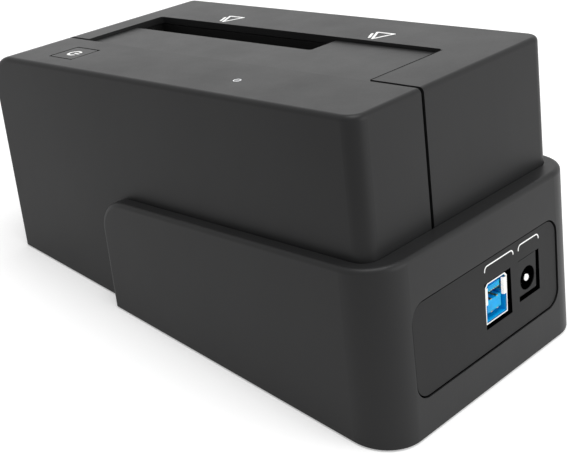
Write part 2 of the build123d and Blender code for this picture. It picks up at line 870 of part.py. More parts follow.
# Power button: a square cap, its retaining flange and the stem over the switch
button_top = -button_recess
flange_top = -case_wall - press_gap
flange_under = flange_top - button_flange
switch_top = small_board_top + switch_height
stem_under = switch_top + plunger_rise + press_gap
with BuildPart() as power_button:
    block(centred(button_u, button_side), centred(button_v, button_side), (flange_top, button_top))
    cap_middle = (flange_top + button_top) / 2
    cap_corners = power_button.edges().filter_by(lambda edge: abs(local(edge).Z - cap_middle) < fit_gap)
    fillet(cap_corners, button_corner_round)
    button_flange_side = button_side + button_flange_reach + button_flange_reach
    flange_u = centred(button_u, button_flange_side)
    flange_v = centred(button_v, button_flange_side)
    block(flange_u, flange_v, (flange_under, flange_top))
    block(centred(button_u, button_stem), centred(button_v, button_stem), (stem_under, flange_under))
    post(button_u, button_v, (button_top - mark_depth, button_top), mark_radius, Mode.SUBTRACT)
    post(button_u, button_v, (button_top - mark_depth, button_top), mark_radius - mark_width)
    block((button_u, button_u + mark_radius), centred(button_v, mark_opening),
          (button_top - mark_depth, button_top))
    block((button_u, button_u + mark_bar_length), centred(button_v, mark_width),
          (button_top - mark_depth, button_top), Mode.SUBTRACT)
power_button.part.label = "power_button"
export_step(power_button.part, "parts/power_button.step")


# Tactile switch: its body with a well for the plunger
well_under = switch_top - plunger_depth - plunger_room
with BuildPart() as switch_body:
    block(centred(button_u, switch_side), centred(button_v, switch_side), (small_board_top, switch_top))
    post(button_u, button_v, (well_under, switch_top), plunger_radius + plunger_clearance, Mode.SUBTRACT)
switch_body.part.label = "switch_body"
export_step(switch_body.part, "parts/switch_body.step")


# The switch's plunger, which moves with the button
with BuildPart() as switch_plunger:
    post(button_u, button_v, (switch_top - plunger_depth, switch_top + plunger_rise), plunger_radius)
switch_plunger.part.label = "switch_plunger"
export_step(switch_plunger.part, "parts/switch_plunger.step")


# Board that carries the switch
with BuildPart() as button_board:
    block(centred(button_u, button_board_half + button_board_half), small_board_v,
          (small_board_under, small_board_top))
    for u in button_boss_places:
        post(u, button_v, (small_board_under, small_board_top), small_pass, Mode.SUBTRACT)
button_board.part.label = "button_board"
export_step(button_board.part, "parts/button_board.step")


# Board that carries the activity light
with BuildPart() as light_board:
    block(centred(light_u, light_board_half + light_board_half), small_board_v,
          (small_board_under, small_board_top))
    for u in light_boss_places:
        post(u, light_v, (small_board_under, small_board_top), small_pass, Mode.SUBTRACT)
light_board.part.label = "light_board"
export_step(light_board.part, "parts/light_board.step")


# Light-emitting chip on the light board
with BuildPart() as activity_led:
    led_w = (small_board_top, small_board_top + led_height)
    block(centred(light_u, led_side), centred(light_v, led_side), led_w)
activity_led.part.label = "activity_led"
export_step(activity_led.part, "parts/activity_led.step")


# Clear pipe that carries the light up to the top plate
with BuildPart() as light_pipe:
    post(light_u, light_v, (small_board_top + led_height + led_gap, 0), light_radius)
    post(light_u, light_v, (-case_wall - light_flange_thick, -case_wall), light_flange)
light_pipe.part.label = "light_pipe"
export_step(light_pipe.part, "parts/light_pipe.step")


# Screws of the two small boards
with BuildPart() as small_board_screws:
    for u, v in small_bosses:
        small_screw(u, v, small_board_under, 1)
small_board_screws.part.label = "small_board_screws"
export_step(small_board_screws.part, "parts/small_board_screws.step")


# Upper board under the bay floor
with BuildPart() as sata_board:
    block(sata_board_u, sata_board_v, (sata_board_under, sata_board_top))
    for u in sata_post_u:
        for v in sata_post_v:
            post(u, v, (sata_board_under, sata_board_top), small_pass, Mode.SUBTRACT)
sata_board.part.label = "sata_board"
export_step(sata_board.part, "parts/sata_board.step")


# Screws of the upper board
with BuildPart() as sata_board_screws:
    for u in sata_post_u:
        for v in sata_post_v:
            small_screw(u, v, sata_board_under, 1)
sata_board_screws.part.label = "sata_board_screws"
export_step(sata_board_screws.part, "parts/sata_board_screws.step")


# Drive connector: a housing with a long power slot and a short signal slot
sata_power_start = sata_u - sata_slots_length / 2
sata_signal_start = sata_power_start + sata_power_length + sata_rib
sata_slots = (
    (sata_power_start, sata_power_length, sata_power_count),
    (sata_signal_start, sata_signal_length, sata_signal_count),
)
with BuildPart() as sata_connector:
    block(centred(sata_u, sata_length), centred(sata_v, sata_width), (sata_board_top, sata_top))
    for start, length, count in sata_slots:
        block((start, start + length), centred(sata_v, sata_slot_width),
              (sata_top - sata_slot_depth, sata_top), Mode.SUBTRACT)
sata_connector.part.label = "sata_connector"
export_step(sata_connector.part, "parts/sata_connector.step")


# Spring contacts of the drive connector, standing along one wall of each slot
contact_wall = sata_v + sata_slot_width / 2
contact_foot = sata_top - sata_slot_depth
with BuildPart() as sata_contacts:
    for start, length, count in sata_slots:
        first = start + (length - sata_pitch * (count - 1)) / 2
        for index in range(count):
            block(
                centred(first + index * sata_pitch, sata_contact_width),
                (contact_wall - sata_contact_thick, contact_wall),
                (contact_foot, contact_foot + sata_contact_height),
            )
sata_contacts.part.label = "sata_contacts"
export_step(sata_contacts.part, "parts/sata_contacts.step")


# Lower board with the bridge electronics and the sockets
with BuildPart() as io_board:
    block(io_board_u, io_board_v, (io_board_under, io_board_top))
    for u in io_post_u:
        for v in io_post_v:
            post(u, v, (io_board_under, io_board_top), small_pass, Mode.SUBTRACT)
io_board.part.label = "io_board"
export_step(io_board.part, "parts/io_board.step")


# Screws of the lower board
with BuildPart() as io_board_screws:
    for u in io_post_u:
        for v in io_post_v:
            small_screw(u, v, io_board_top, -1)
io_board_screws.part.label = "io_board_screws"
export_step(io_board_screws.part, "parts/io_board_screws.step")


def board_place(shares):
    """A place on the lower board, from its shares of the board's length and width."""
    return (shared(io_board_u, shares[0]), shared(io_board_v, shares[1]))


def on_board(shares, length, width, height):
    """A box-shaped part standing on the lower board."""
    u, v = board_place(shares)
    block(centred(u, length), centred(v, width), (io_board_top, io_board_top + height))


# Bridge chip
with BuildPart() as bridge_chip:
    on_board(chip_shares, chip_side, chip_side, chip_height)
bridge_chip.part.label = "bridge_chip"
export_step(bridge_chip.part, "parts/bridge_chip.step")


# Memory chip
with BuildPart() as flash_chip:
    on_board(flash_shares, flash_length, flash_width, flash_height)
flash_chip.part.label = "flash_chip"
export_step(flash_chip.part, "parts/flash_chip.step")


# Crystal in its rounded can, lying across the board
quarter_turn = 90
with BuildPart() as crystal:
    with BuildSketch(CASE.offset(io_board_top)):
        with Locations(board_place(crystal_shares)):
            SlotOverall(crystal_length, crystal_width, rotation=quarter_turn)
    extrude(amount=crystal_height)
crystal.part.label = "crystal"
export_step(crystal.part, "parts/crystal.step")


# Electrolytic capacitors
with BuildPart() as capacitors:
    for shares in capacitor_shares:
        post(*board_place(shares), (io_board_top, io_board_top + capacitor_height), capacitor_radius)
capacitors.part.label = "capacitors"
export_step(capacitors.part, "parts/capacitors.step")


# Power inductor
with BuildPart() as inductor:
    on_board(inductor_shares, inductor_side, inductor_side, inductor_height)
inductor.part.label = "inductor"
export_step(inductor.part, "parts/inductor.step")


# Pin headers for the leads to the two small boards
with BuildPart() as pin_headers:
    for shares in pin_header_shares:
        on_board(shares, pin_header_length, pin_header_width, pin_header_height)
pin_headers.part.label = "pin_headers"
export_step(pin_headers.part, "parts/pin_headers.step")


# Socket and pins that link the two boards
link_middle_u = shared(link_u, 1 / 2)
link_middle_v = shared(link_v, 1 / 2)
link_step = (link_length - link_slot - link_slot) / (link_pin_count - 1)
link_base_top = sata_board_under - link_socket_height - press_gap
with BuildPart() as link_socket:
    block(link_u, link_v, (sata_board_under - link_socket_height, sata_board_under))
    block(centred(link_middle_u, link_length - link_slot), centred(link_middle_v, link_slot),
          (sata_board_under - link_socket_height, sata_board_under - link_pin), Mode.SUBTRACT)
link_socket.part.label = "link_socket"
export_step(link_socket.part, "parts/link_socket.step")

with BuildPart() as link_pins:
    block(link_u, link_v, (io_board_top, link_base_top))
    for index in range(link_pin_count):
        place = link_u[0] + link_slot + index * link_step
        block(centred(place, link_pin), centred(link_middle_v, link_pin),
              (link_base_top, link_base_top + link_pin_rise - link_pin))
link_pins.part.label = "link_pins"
export_step(link_pins.part, "parts/link_pins.step")


def usb_profile(inset):
    """Section of the USB socket's shell, narrower at the top."""
    half = usb_width / 2 - inset
    top = usb_height / 2 - inset
    with BuildSketch(CROSS.offset(usb_front)) as outline:
        with BuildLine():
            Polyline(
                (usb_v - half, port_w - top),
                (usb_v - half, port_w + top - usb_clip),
                (usb_v - half + usb_clip, port_w + top),
                (usb_v + half - usb_clip, port_w + top),
                (usb_v + half, port_w + top - usb_clip),
                (usb_v + half, port_w - top),
                close=True,
            )
        make_face()
    return outline.sketch


# Metal shell of the USB socket
with BuildPart() as usb_shell:
    extrude(usb_profile(0), amount=-usb_length)
    extrude(usb_profile(usb_metal), amount=-usb_length, mode=Mode.SUBTRACT)
usb_shell.part.label = "usb_shell"
export_step(usb_shell.part, "parts/usb_shell.step")


# Insulator inside it: a back block, the main tongue and the step above it
usb_back_u = usb_front - usb_length
tongue_w = centred(port_w - usb_tongue_drop, usb_tongue_height)
step_w = centred(port_w + usb_step_rise, usb_step_height)
tongue_tip = usb_front - usb_tongue_recess
with BuildPart() as usb_insulator:
    extrude(usb_profile(usb_metal), amount=-usb_length)
    block((usb_back_u + usb_back, reach), everywhere, everywhere, Mode.SUBTRACT)
    block((usb_back_u + usb_back, tongue_tip), centred(usb_v, usb_tongue_width), tongue_w)
    block((usb_back_u + usb_back, tongue_tip), centred(usb_v, usb_step_width), step_w)
usb_insulator.part.label = "usb_insulator"
export_step(usb_insulator.part, "parts/usb_insulator.step")


# Contacts on the tongue and under the step
contact_u = (usb_back_u + usb_back, tongue_tip)
step_first = usb_v - usb_step_contact_pitch * (usb_step_contact_count - 1) / 2
with BuildPart() as usb_contacts:
    for v in (usb_v - usb_contact_offset, usb_v + usb_contact_offset):
        wide = centred(v, usb_contact_width)
        block(contact_u, wide, (tongue_w[1], tongue_w[1] + usb_contact_thick))
        block(contact_u, wide, (tongue_w[0] - usb_contact_thick, tongue_w[0]))
    for index in range(usb_step_contact_count):
        place = step_first + index * usb_step_contact_pitch
        block(contact_u, centred(place, usb_contact_width / 2), (step_w[0] - usb_contact_thick, step_w[0]))
usb_contacts.part.label = "usb_contacts"
export_step(usb_contacts.part, "parts/usb_contacts.step")


# Housing of the power socket: its body on the board and its nose in the panel
jack_back = jack_front - jack_length
jack_nose_back = jack_front - jack_nose_length
with BuildPart() as jack_housing:
    block((jack_back, jack_nose_back), centred(jack_v, jack_width), centred(port_w, jack_height))
    block((jack_nose_back, jack_front), jack_nose_v, jack_nose_w)
    rod(jack_v, jack_w, (jack_front - jack_bore_depth, jack_front), jack_bore, Mode.SUBTRACT)
jack_housing.part.label = "jack_housing"
export_step(jack_housing.part, "parts/jack_housing.step")


# Its centre pin, with a rounded tip
with BuildPart() as jack_centre_pin:
    pin_foot = jack_front - jack_bore_depth
    rod(jack_v, jack_w, (pin_foot, pin_foot + jack_pin_length), jack_pin)
    fillet(jack_centre_pin.edges().sort_by(Axis(CASE.origin, along))[-1], jack_pin / 2)
jack_centre_pin.part.label = "jack_centre_pin"
export_step(jack_centre_pin.part, "parts/jack_centre_pin.step")


# Its side spring contact at the bottom of the bore
jack_contact_floor = jack_w - jack_bore + jack_contact_thick / 2
with BuildPart() as jack_contact:
    block(
        (jack_front - jack_bore_depth, jack_front - jack_bore_depth + jack_contact_length),
        centred(jack_v, jack_contact_width),
        (jack_contact_floor, jack_contact_floor + jack_contact_thick),
    )
    rod(jack_v, jack_w, (-reach, reach), jack_bore, Mode.INTERSECT)
jack_contact.part.label = "jack_contact"
export_step(jack_contact.part, "parts/jack_contact.step")
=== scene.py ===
"""Looks of a leaning upright dock for one bare drive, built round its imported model.

The casing leans towards its button end. Its surfaces are drawn in a leaning frame whose place and
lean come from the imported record: u runs along the top towards the sockets, v across to the far side
and w up out of the top plane, with zero at the middle of the rear top edge. Lengths are metres.
"""

import json
import logging
from dataclasses import dataclass
from enum import Enum
from math import asin, atan2, cos, pi, radians, sin
from typing import Any, ClassVar, Iterable, Mapping, Sequence, Union

import bmesh
import bpy
from mathutils import Matrix, Vector


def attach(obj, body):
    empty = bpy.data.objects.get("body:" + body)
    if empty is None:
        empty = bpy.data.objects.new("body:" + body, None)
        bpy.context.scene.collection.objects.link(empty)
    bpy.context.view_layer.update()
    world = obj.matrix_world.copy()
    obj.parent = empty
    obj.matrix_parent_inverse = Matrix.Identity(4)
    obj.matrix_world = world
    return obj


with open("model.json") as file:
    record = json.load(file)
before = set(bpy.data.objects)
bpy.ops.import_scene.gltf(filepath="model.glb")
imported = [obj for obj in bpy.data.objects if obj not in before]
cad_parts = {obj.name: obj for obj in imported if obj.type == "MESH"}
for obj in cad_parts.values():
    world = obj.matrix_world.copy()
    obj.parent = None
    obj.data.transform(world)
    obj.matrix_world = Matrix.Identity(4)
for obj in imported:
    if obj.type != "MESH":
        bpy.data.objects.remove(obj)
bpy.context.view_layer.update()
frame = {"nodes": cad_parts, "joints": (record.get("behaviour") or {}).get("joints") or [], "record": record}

log = logging.getLogger("dock")

MM = 0.001
ACROSS = Vector((0, 1, 0))
END_STEPS = 8
CIRCLE_STEPS = 72
BEVEL_SEGMENTS = 2
MATRIX_SIZE = 4
NOISE_MEAN = 0.5
EDGE_FULL = 0.25
EDGE_SAMPLES = 4
SMOOTH_STEP = {"interpolation_type": "SMOOTHSTEP", "clamp": True}
WHITE_RAYS = ("Is Camera Ray", "Is Glossy Ray", "Is Transmission Ray")
Colour = tuple[float, float, float]
Point2 = tuple[float, float]
Point3 = tuple[float, float, float]
Span2 = tuple[Point2, Point2]
Ring = list[bmesh.types.BMVert]
Faces = list[bmesh.types.BMFace]
WHITE: Colour = (1.0, 1.0, 1.0)
BLACK: Colour = (0.0, 0.0, 0.0)


class Signal:
    """A socket whose value varies over a surface, so that shader maths reads as arithmetic."""

    def __init__(self, nodes: "Nodes", socket: bpy.types.NodeSocket) -> None:
        """Keeps the socket and the tree that it belongs to."""
        self.nodes = nodes
        self.socket = socket

    def maths(self, operation: str, *operands: "Operand") -> "Signal":
        """Adds one Math node.

        Args:
            operation: The node's operation, in Blender's own word.
            operands: What its sockets take, in order.

        Returns:
            The node's result.
        """
        return self.nodes.add("ShaderNodeMath", {"operation": operation}, dict(enumerate(operands)))

    def __add__(self, other: "Operand") -> "Signal":
        """Sum."""
        return self.maths("ADD", self, other)

    def __radd__(self, other: "Operand") -> "Signal":
        """Sum, from the right."""
        return self.maths("ADD", other, self)

    def __sub__(self, other: "Operand") -> "Signal":
        """Difference."""
        return self.maths("SUBTRACT", self, other)

    def __rsub__(self, other: "Operand") -> "Signal":
        """Difference, from the right."""
        return self.maths("SUBTRACT", other, self)

    def __mul__(self, other: "Operand") -> "Signal":
        """Product."""
        return self.maths("MULTIPLY", self, other)

    def __rmul__(self, other: "Operand") -> "Signal":
        """Product, from the right."""
        return self.maths("MULTIPLY", other, self)

    def either(self, other: "Operand") -> "Signal":
        """The larger of two values."""
        return self.maths("MAXIMUM", self, other)

    def between(self, low: float, high: float) -> "Signal":
        """The value's share of the way from low to high, held between zero and one."""
        sockets = {"Value": self, "From Min": low, "From Max": high}
        return self.nodes.add("ShaderNodeMapRange", SMOOTH_STEP, sockets)


Operand = Union[Signal, float]


@dataclass(frozen=True)
class Grain:
    """A fractal noise: bumps per metre, levels of detail and the strength of the finer ones."""

    scale: float
    detail: float = 3
    rise: float = 0.5


class Nodes:
    """A node tree that is filled by one method."""

    def __init__(self, tree: bpy.types.NodeTree) -> None:
        """Starts from a tree as Blender makes it."""
        self.tree = tree

    def add(
        self,
        kind: str,
        settings: Mapping[str, Any] | None = None,
        sockets: Mapping[Any, Any] | None = None,
        output: Any = 0,
    ) -> Signal:
        """Adds a node, sets it up and fills its sockets.

        Args:
            kind: The node's type.
            settings: Its properties, which are set first.
            sockets: Values or signals, by the socket's number, name or identifier.
            output: Which output is handed on.

        Returns:
            The signal of that output.
        """
        node = self.tree.nodes.new(kind)
        for name, value in (settings or {}).items():
            setattr(node, name, value)
        for name, value in (sockets or {}).items():
            self.feed(self.find(node.inputs, name), value)
        return Signal(self, self.find(node.outputs, output))

    @staticmethod
    def find(sockets: Any, name: Any) -> bpy.types.NodeSocket:
        """Finds a socket.

        Args:
            sockets: A node's inputs or outputs.
            name: The socket's number, identifier or name.

        Returns:
            The socket.
        """
        if isinstance(name, int):
            return sockets[name]
        for socket in sockets:
            if socket.identifier == name:
                return socket
        return sockets[name]

    def feed(self, socket: bpy.types.NodeSocket, value: Any) -> None:
        """Links a signal to a socket, or sets the socket to a plain value.

        Args:
            socket: The socket.
            value: A signal, a number, a colour or a vector.
        """
        if isinstance(value, Signal):
            self.tree.links.new(value.socket, socket)
        elif socket.type == "RGBA":
            socket.default_value = (*value, 1)
        else:
            socket.default_value = value

    def noise(self, place: Signal, grain: Grain) -> Signal:
        """Fractal noise over a place."""
        sockets = {"Vector": place, "Scale": grain.scale, "Detail": grain.detail, "Roughness": grain.rise}
        return self.add("ShaderNodeTexNoise", {"noise_dimensions": "3D"}, sockets)

    def cells(self, place: Signal, scale: float) -> Signal:
        """Distance to the nearest of scattered points, for pits and specks."""
        return self.add("ShaderNodeTexVoronoi", {"feature": "F1"}, {"Vector": place, "Scale": scale})

    def blend(self, first: Any, second: Any, mask: Operand) -> Signal:
        """Colour between two colours."""
        sockets = {"Factor_Float": mask, "A_Color": first, "B_Color": second}
        return self.add("ShaderNodeMix", {"data_type": "RGBA"}, sockets, "Result_Color")

    def mixed(self, first: Signal, second: Signal, mask: Operand) -> Signal:
        """Shader between two shaders."""
        return self.add("ShaderNodeMixShader", {}, {0: mask, 1: first, 2: second})

    def seen_rays(self) -> Signal:
        """One for camera, glossy and transmission rays, which see the background white."""
        rays = [self.add("ShaderNodeLightPath", output=name) for name in WHITE_RAYS]
        return rays[0].either(rays[1]).either(rays[2])


class Surface(Nodes):
    """A material on one Principled shader."""

    def __init__(self, name: str) -> None:
        """Makes an empty material with its shader and the place on the object.

        Args:
            name: What the material is called.
        """
        self.material = bpy.data.materials.new(name)
        self.material.use_nodes = True
        super().__init__(self.material.node_tree)
        self.shader = self.tree.nodes["Principled BSDF"]
        self.place = self.add("ShaderNodeTexCoord", output="Object")

    def set(self, **values: Any) -> None:
        """Fills the shader's sockets; a low line in a name stands for a space."""
        for name, value in values.items():
            self.feed(self.shader.inputs[name.replace("_", " ")], value)

    def stretched(self, size: Sequence[float]) -> Signal:
        """The place on the object, stretched along its axes."""
        return self.add("ShaderNodeVectorMath", {"operation": "MULTIPLY"}, {0: self.place, 1: size})

    def edges(self, radius: float) -> Signal:
        """How near a sharp edge is, from zero to one.

        Args:
            radius: How far the edge's influence reaches.

        Returns:
            A mask that is one on the edge itself.
        """
        rounded = self.add("ShaderNodeBevel", {"samples": EDGE_SAMPLES}, {"Radius": radius})
        flat = self.add("ShaderNodeNewGeometry", output="Normal")
        sockets = {0: rounded, 1: flat}
        likeness = self.add("ShaderNodeVectorMath", {"operation": "DOT_PRODUCT"}, sockets, "Value")
        return (1 - likeness).between(0.0, EDGE_FULL)

    def relief(self, height: Signal, depth: float, strength: float) -> Signal:
        """A bump of a given depth in metres, for the shader's normal."""
        sockets = {"Height": height, "Distance": depth, "Strength": strength}
        return self.add("ShaderNodeBump", {}, sockets)


def shade(colour: Colour, share: float) -> Colour:
    """A colour, darkened to a share of itself."""
    return tuple(channel * share for channel in colour)


@dataclass(frozen=True)
class Recipe:
    """How a finish is made; each kind of finish fills its surface in its own way."""

    def fill(self, surface: Surface) -> None:
        """Fills the shader's sockets of a surface."""
        raise NotImplementedError

    def material(self, name: str) -> bpy.types.Material:
        """Makes the material.

        Args:
            name: What it is called.

        Returns:
            The finished material.
        """
        surface = Surface(name)
        self.fill(surface)
        return surface.material


@dataclass(frozen=True)
class MouldedPlastic(Recipe):
    """Satin plastic with a spark-eroded grain, edges lightened as rubbing wear and as a painted highlight,
    and faint handling marks.
    """

    colour: Colour
    roughness: float = 0.42
    specular: float = 0.2
    grain_scale: float = 2600.0
    grain_detail: float = 4
    grain_rise: float = 0.6
    grain_depth: float = 0.012 * MM
    grain_strength: float = 0.5
    grain_roughness: float = 0.08
    pit_scale: float = 0.6
    pit_weight: float = 0.3
    wear_and_highlight: float = 0.25
    # Colour of the lighter edges: rubbing wear and a painted edge highlight.
    worn_and_highlight_colour: Colour = (0.085, 0.086, 0.09)
    edge_radius: float = 0.25 * MM
    edge_polish: float = 0.06
    scuff: Grain = Grain(420.0, 4, 0.7)
    scuff_span: Point2 = (0.42, 0.7)
    cloud: Grain = Grain(18.0)
    cloud_span: Point2 = (0.3, 0.7)
    cloud_shade: float = 0.86
    smear: Grain = Grain(60.0, 4, 0.65)
    smear_stretch: Point3 = (1.0, 1.0, 0.35)
    smear_roughness: float = 0.14

    def fill(self, surface: Surface) -> None:
        """Fills the shader's sockets.

        Args:
            surface: The material's surface.
        """
        place = surface.place
        fine = surface.noise(place, Grain(self.grain_scale, self.grain_detail, self.grain_rise))
        pits = surface.cells(place, self.grain_scale * self.pit_scale)
        clouds = surface.noise(place, self.cloud)
        smears = surface.noise(surface.stretched(self.smear_stretch), self.smear)
        edge = surface.edges(self.edge_radius)
        # Lighter edges: rubbing wear, and a painted highlight along the sharp edges.
        scuffs_and_highlight = edge * surface.noise(place, self.scuff).between(*self.scuff_span)
        darker = shade(self.colour, self.cloud_shade)
        ground = surface.blend(darker, self.colour, clouds.between(*self.cloud_span))
        marks = (smears - NOISE_MEAN) * self.smear_roughness + (fine - NOISE_MEAN) * self.grain_roughness
        surface.set(
            Base_Color=surface.blend(ground, self.worn_and_highlight_colour, scuffs_and_highlight * self.wear_and_highlight),
            Roughness=self.roughness + marks - edge * self.edge_polish,
            Specular_IOR_Level=self.specular,
            Normal=surface.relief(
                fine * (1 - self.pit_weight) + pits * self.pit_weight, self.grain_depth, self.grain_strength
            ),
        )


@dataclass(frozen=True)
class Metal(Recipe):
    """Bright or brushed metal with fine rubbing marks."""

    colour: Colour
    roughness: float = 0.22
    streak: Point3 = (1.0, 1.0, 1.0)
    rubbing: Grain = Grain(900.0, 4, 0.6)
    rubbing_depth: float = 0.004 * MM
    rubbing_strength: float = 0.5
    rubbing_roughness: float = 0.2
    tarnish: float = 0.3
    tarnish_shade: float = 0.72
    cloud: Grain = Grain(240.0)
    cloud_span: Point2 = (0.45, 0.75)
    cloud_roughness: float = 0.06
    edge_radius: float = 0.12 * MM
    edge_polish: float = 0.05

    def fill(self, surface: Surface) -> None:
        """Fills the shader's sockets.

        Args:
            surface: The material's surface.
        """
        lines = surface.noise(surface.stretched(self.streak), self.rubbing)
        clouds = surface.noise(surface.place, self.cloud)
        edge = surface.edges(self.edge_radius)
        dull = shade(self.colour, self.tarnish_shade)
        marks = (lines - NOISE_MEAN) * self.rubbing_roughness + clouds * self.cloud_roughness
        surface.set(
            Base_Color=surface.blend(self.colour, dull, clouds.between(*self.cloud_span) * self.tarnish),
            Metallic=1.0,
            Roughness=self.roughness + marks - edge * self.edge_polish,
            Normal=surface.relief(lines, self.rubbing_depth, self.rubbing_strength),
        )


@dataclass(frozen=True)
class Rubber(Recipe):
    """Matt rubber with a fine open grain and dust in its pores."""

    colour: Colour = (0.018, 0.018, 0.018)
    roughness: float = 0.82
    specular: float = 0.25
    dust_colour: Colour = (0.09, 0.088, 0.083)
    dust: Grain = Grain(300.0, 4, 0.7)
    dust_span: Point2 = (0.5, 0.8)
    dust_cover: float = 0.5
    dust_roughness: float = 0.12
    pore_scale: float = 3200.0
    pore_depth: float = 0.03 * MM
    pore_strength: float = 0.6

    def fill(self, surface: Surface) -> None:
        """Fills the shader's sockets.

        Args:
            surface: The material's surface.
        """
        pores = surface.cells(surface.place, self.pore_scale)
        dusty = surface.noise(surface.place, self.dust).between(*self.dust_span)
        surface.set(
            Base_Color=surface.blend(self.colour, self.dust_colour, dusty * self.dust_cover),
            Roughness=self.roughness + dusty * self.dust_roughness,
            Specular_IOR_Level=self.specular,
            Normal=surface.relief(pores, self.pore_depth, self.pore_strength),
        )


@dataclass(frozen=True)
class Ink(Recipe):
    """Screen-printed ink, a little uneven and worn thin in places."""

    colour: Colour = (0.95, 0.95, 0.94)
    thin_colour: Colour = (0.7, 0.7, 0.7)
    roughness: float = 0.5
    cover: Grain = Grain(2400.0, 4, 0.7)
    cover_span: Point2 = (0.6, 0.85)
    thinning: float = 0.5
    cover_roughness: float = 0.2
    cover_depth: float = 0.004 * MM
    cover_strength: float = 0.4

    def fill(self, surface: Surface) -> None:
        """Fills the shader's sockets.

        Args:
            surface: The material's surface.
        """
        cover = surface.noise(surface.place, self.cover).between(*self.cover_span)
        surface.set(
            Base_Color=surface.blend(self.colour, self.thin_colour, cover * self.thinning),
            Roughness=self.roughness + cover * self.cover_roughness,
            Normal=surface.relief(cover, self.cover_depth, self.cover_strength),
        )


@dataclass(frozen=True)
class ClearPlastic(Recipe):
    """Clear moulded plastic, cloudy in its depth."""

    colour: Colour
    transmission: float
    roughness: float = 0.12
    refraction: float = 1.49
    cloud: Grain = Grain(700.0)
    cloud_shade: float = 0.8
    cloud_roughness: float = 0.1
    cloud_depth: float = 0.02 * MM
    cloud_strength: float = 0.3

    def fill(self, surface: Surface) -> None:
        """Fills the shader's sockets.

        Args:
            surface: The material's surface.
        """
        cloud = surface.noise(surface.place, self.cloud)
        surface.set(
            Base_Color=surface.blend(self.colour, shade(self.colour, self.cloud_shade), cloud),
            Roughness=self.roughness + cloud * self.cloud_roughness,
            Transmission_Weight=self.transmission,
            IOR=self.refraction,
            Normal=surface.relief(cloud, self.cloud_depth, self.cloud_strength),
        )


@dataclass(frozen=True)
class SocketPlastic(Recipe):
    """Bright coloured connector plastic that scatters light in its depth."""

    colour: Colour
    roughness: float = 0.4
    specular: float = 0.2
    scatter: float = 0.8
    scatter_radius: Point3 = (0.2, 0.6, 1.0)
    scatter_depth: float = 3.0 * MM
    swirl: Grain = Grain(260.0)
    swirl_span: Point2 = (0.35, 0.7)
    swirl_shade: float = 0.8
    fine: Grain = Grain(3000.0)
    fine_roughness: float = 0.12
    fine_depth: float = 0.006 * MM
    fine_strength: float = 0.4

    def fill(self, surface: Surface) -> None:
        """Fills the shader's sockets.

        Args:
            surface: The material's surface.
        """
        swirl = surface.noise(surface.place, self.swirl).between(*self.swirl_span)
        fine = surface.noise(surface.place, self.fine)
        surface.set(
            Base_Color=surface.blend(self.colour, shade(self.colour, self.swirl_shade), swirl),
            Roughness=self.roughness + (fine - NOISE_MEAN) * self.fine_roughness,
            Specular_IOR_Level=self.specular,
            Subsurface_Weight=self.scatter,
            Subsurface_Radius=self.scatter_radius,
            Subsurface_Scale=self.scatter_depth,
            Normal=surface.relief(fine, self.fine_depth, self.fine_strength),
        )


@dataclass(frozen=True)
class CircuitBoard(Recipe):
    """Solder mask over copper tracks and a flooded ground plane."""

    mask_colour: Colour = (0.012, 0.12, 0.05)
    copper_colour: Colour = (0.03, 0.26, 0.1)
    roughness: float = 0.28
    track_scale: float = 420.0
    track_span: Point2 = (0.05, 0.12)
    hole_scale: float = 0.7
    hole_span: Point2 = (0.1, 0.16)
    copper_cover: float = 0.8
    copper_depth: float = 0.03 * MM
    copper_strength: float = 0.6
    cloud: Grain = Grain(90.0)
    cloud_cover: float = 0.1
    cloud_roughness: float = 0.14

    def fill(self, surface: Surface) -> None:
        """Fills the shader's sockets.

        Args:
            surface: The material's surface.
        """
        settings = {"feature": "DISTANCE_TO_EDGE", "distance": "EUCLIDEAN"}
        sockets = {"Vector": surface.place, "Scale": self.track_scale}
        border = surface.add("ShaderNodeTexVoronoi", settings, sockets)
        tracks = 1 - border.between(*self.track_span)
        holes = surface.cells(surface.place, self.track_scale * self.hole_scale)
        copper = tracks.either(1 - holes.between(*self.hole_span))
        cloud = surface.noise(surface.place, self.cloud)
        cover = copper * self.copper_cover + cloud * self.cloud_cover
        surface.set(
            Base_Color=surface.blend(self.mask_colour, self.copper_colour, cover),
            Roughness=self.roughness + cloud * self.cloud_roughness,
            Normal=surface.relief(copper, self.copper_depth, self.copper_strength),
        )


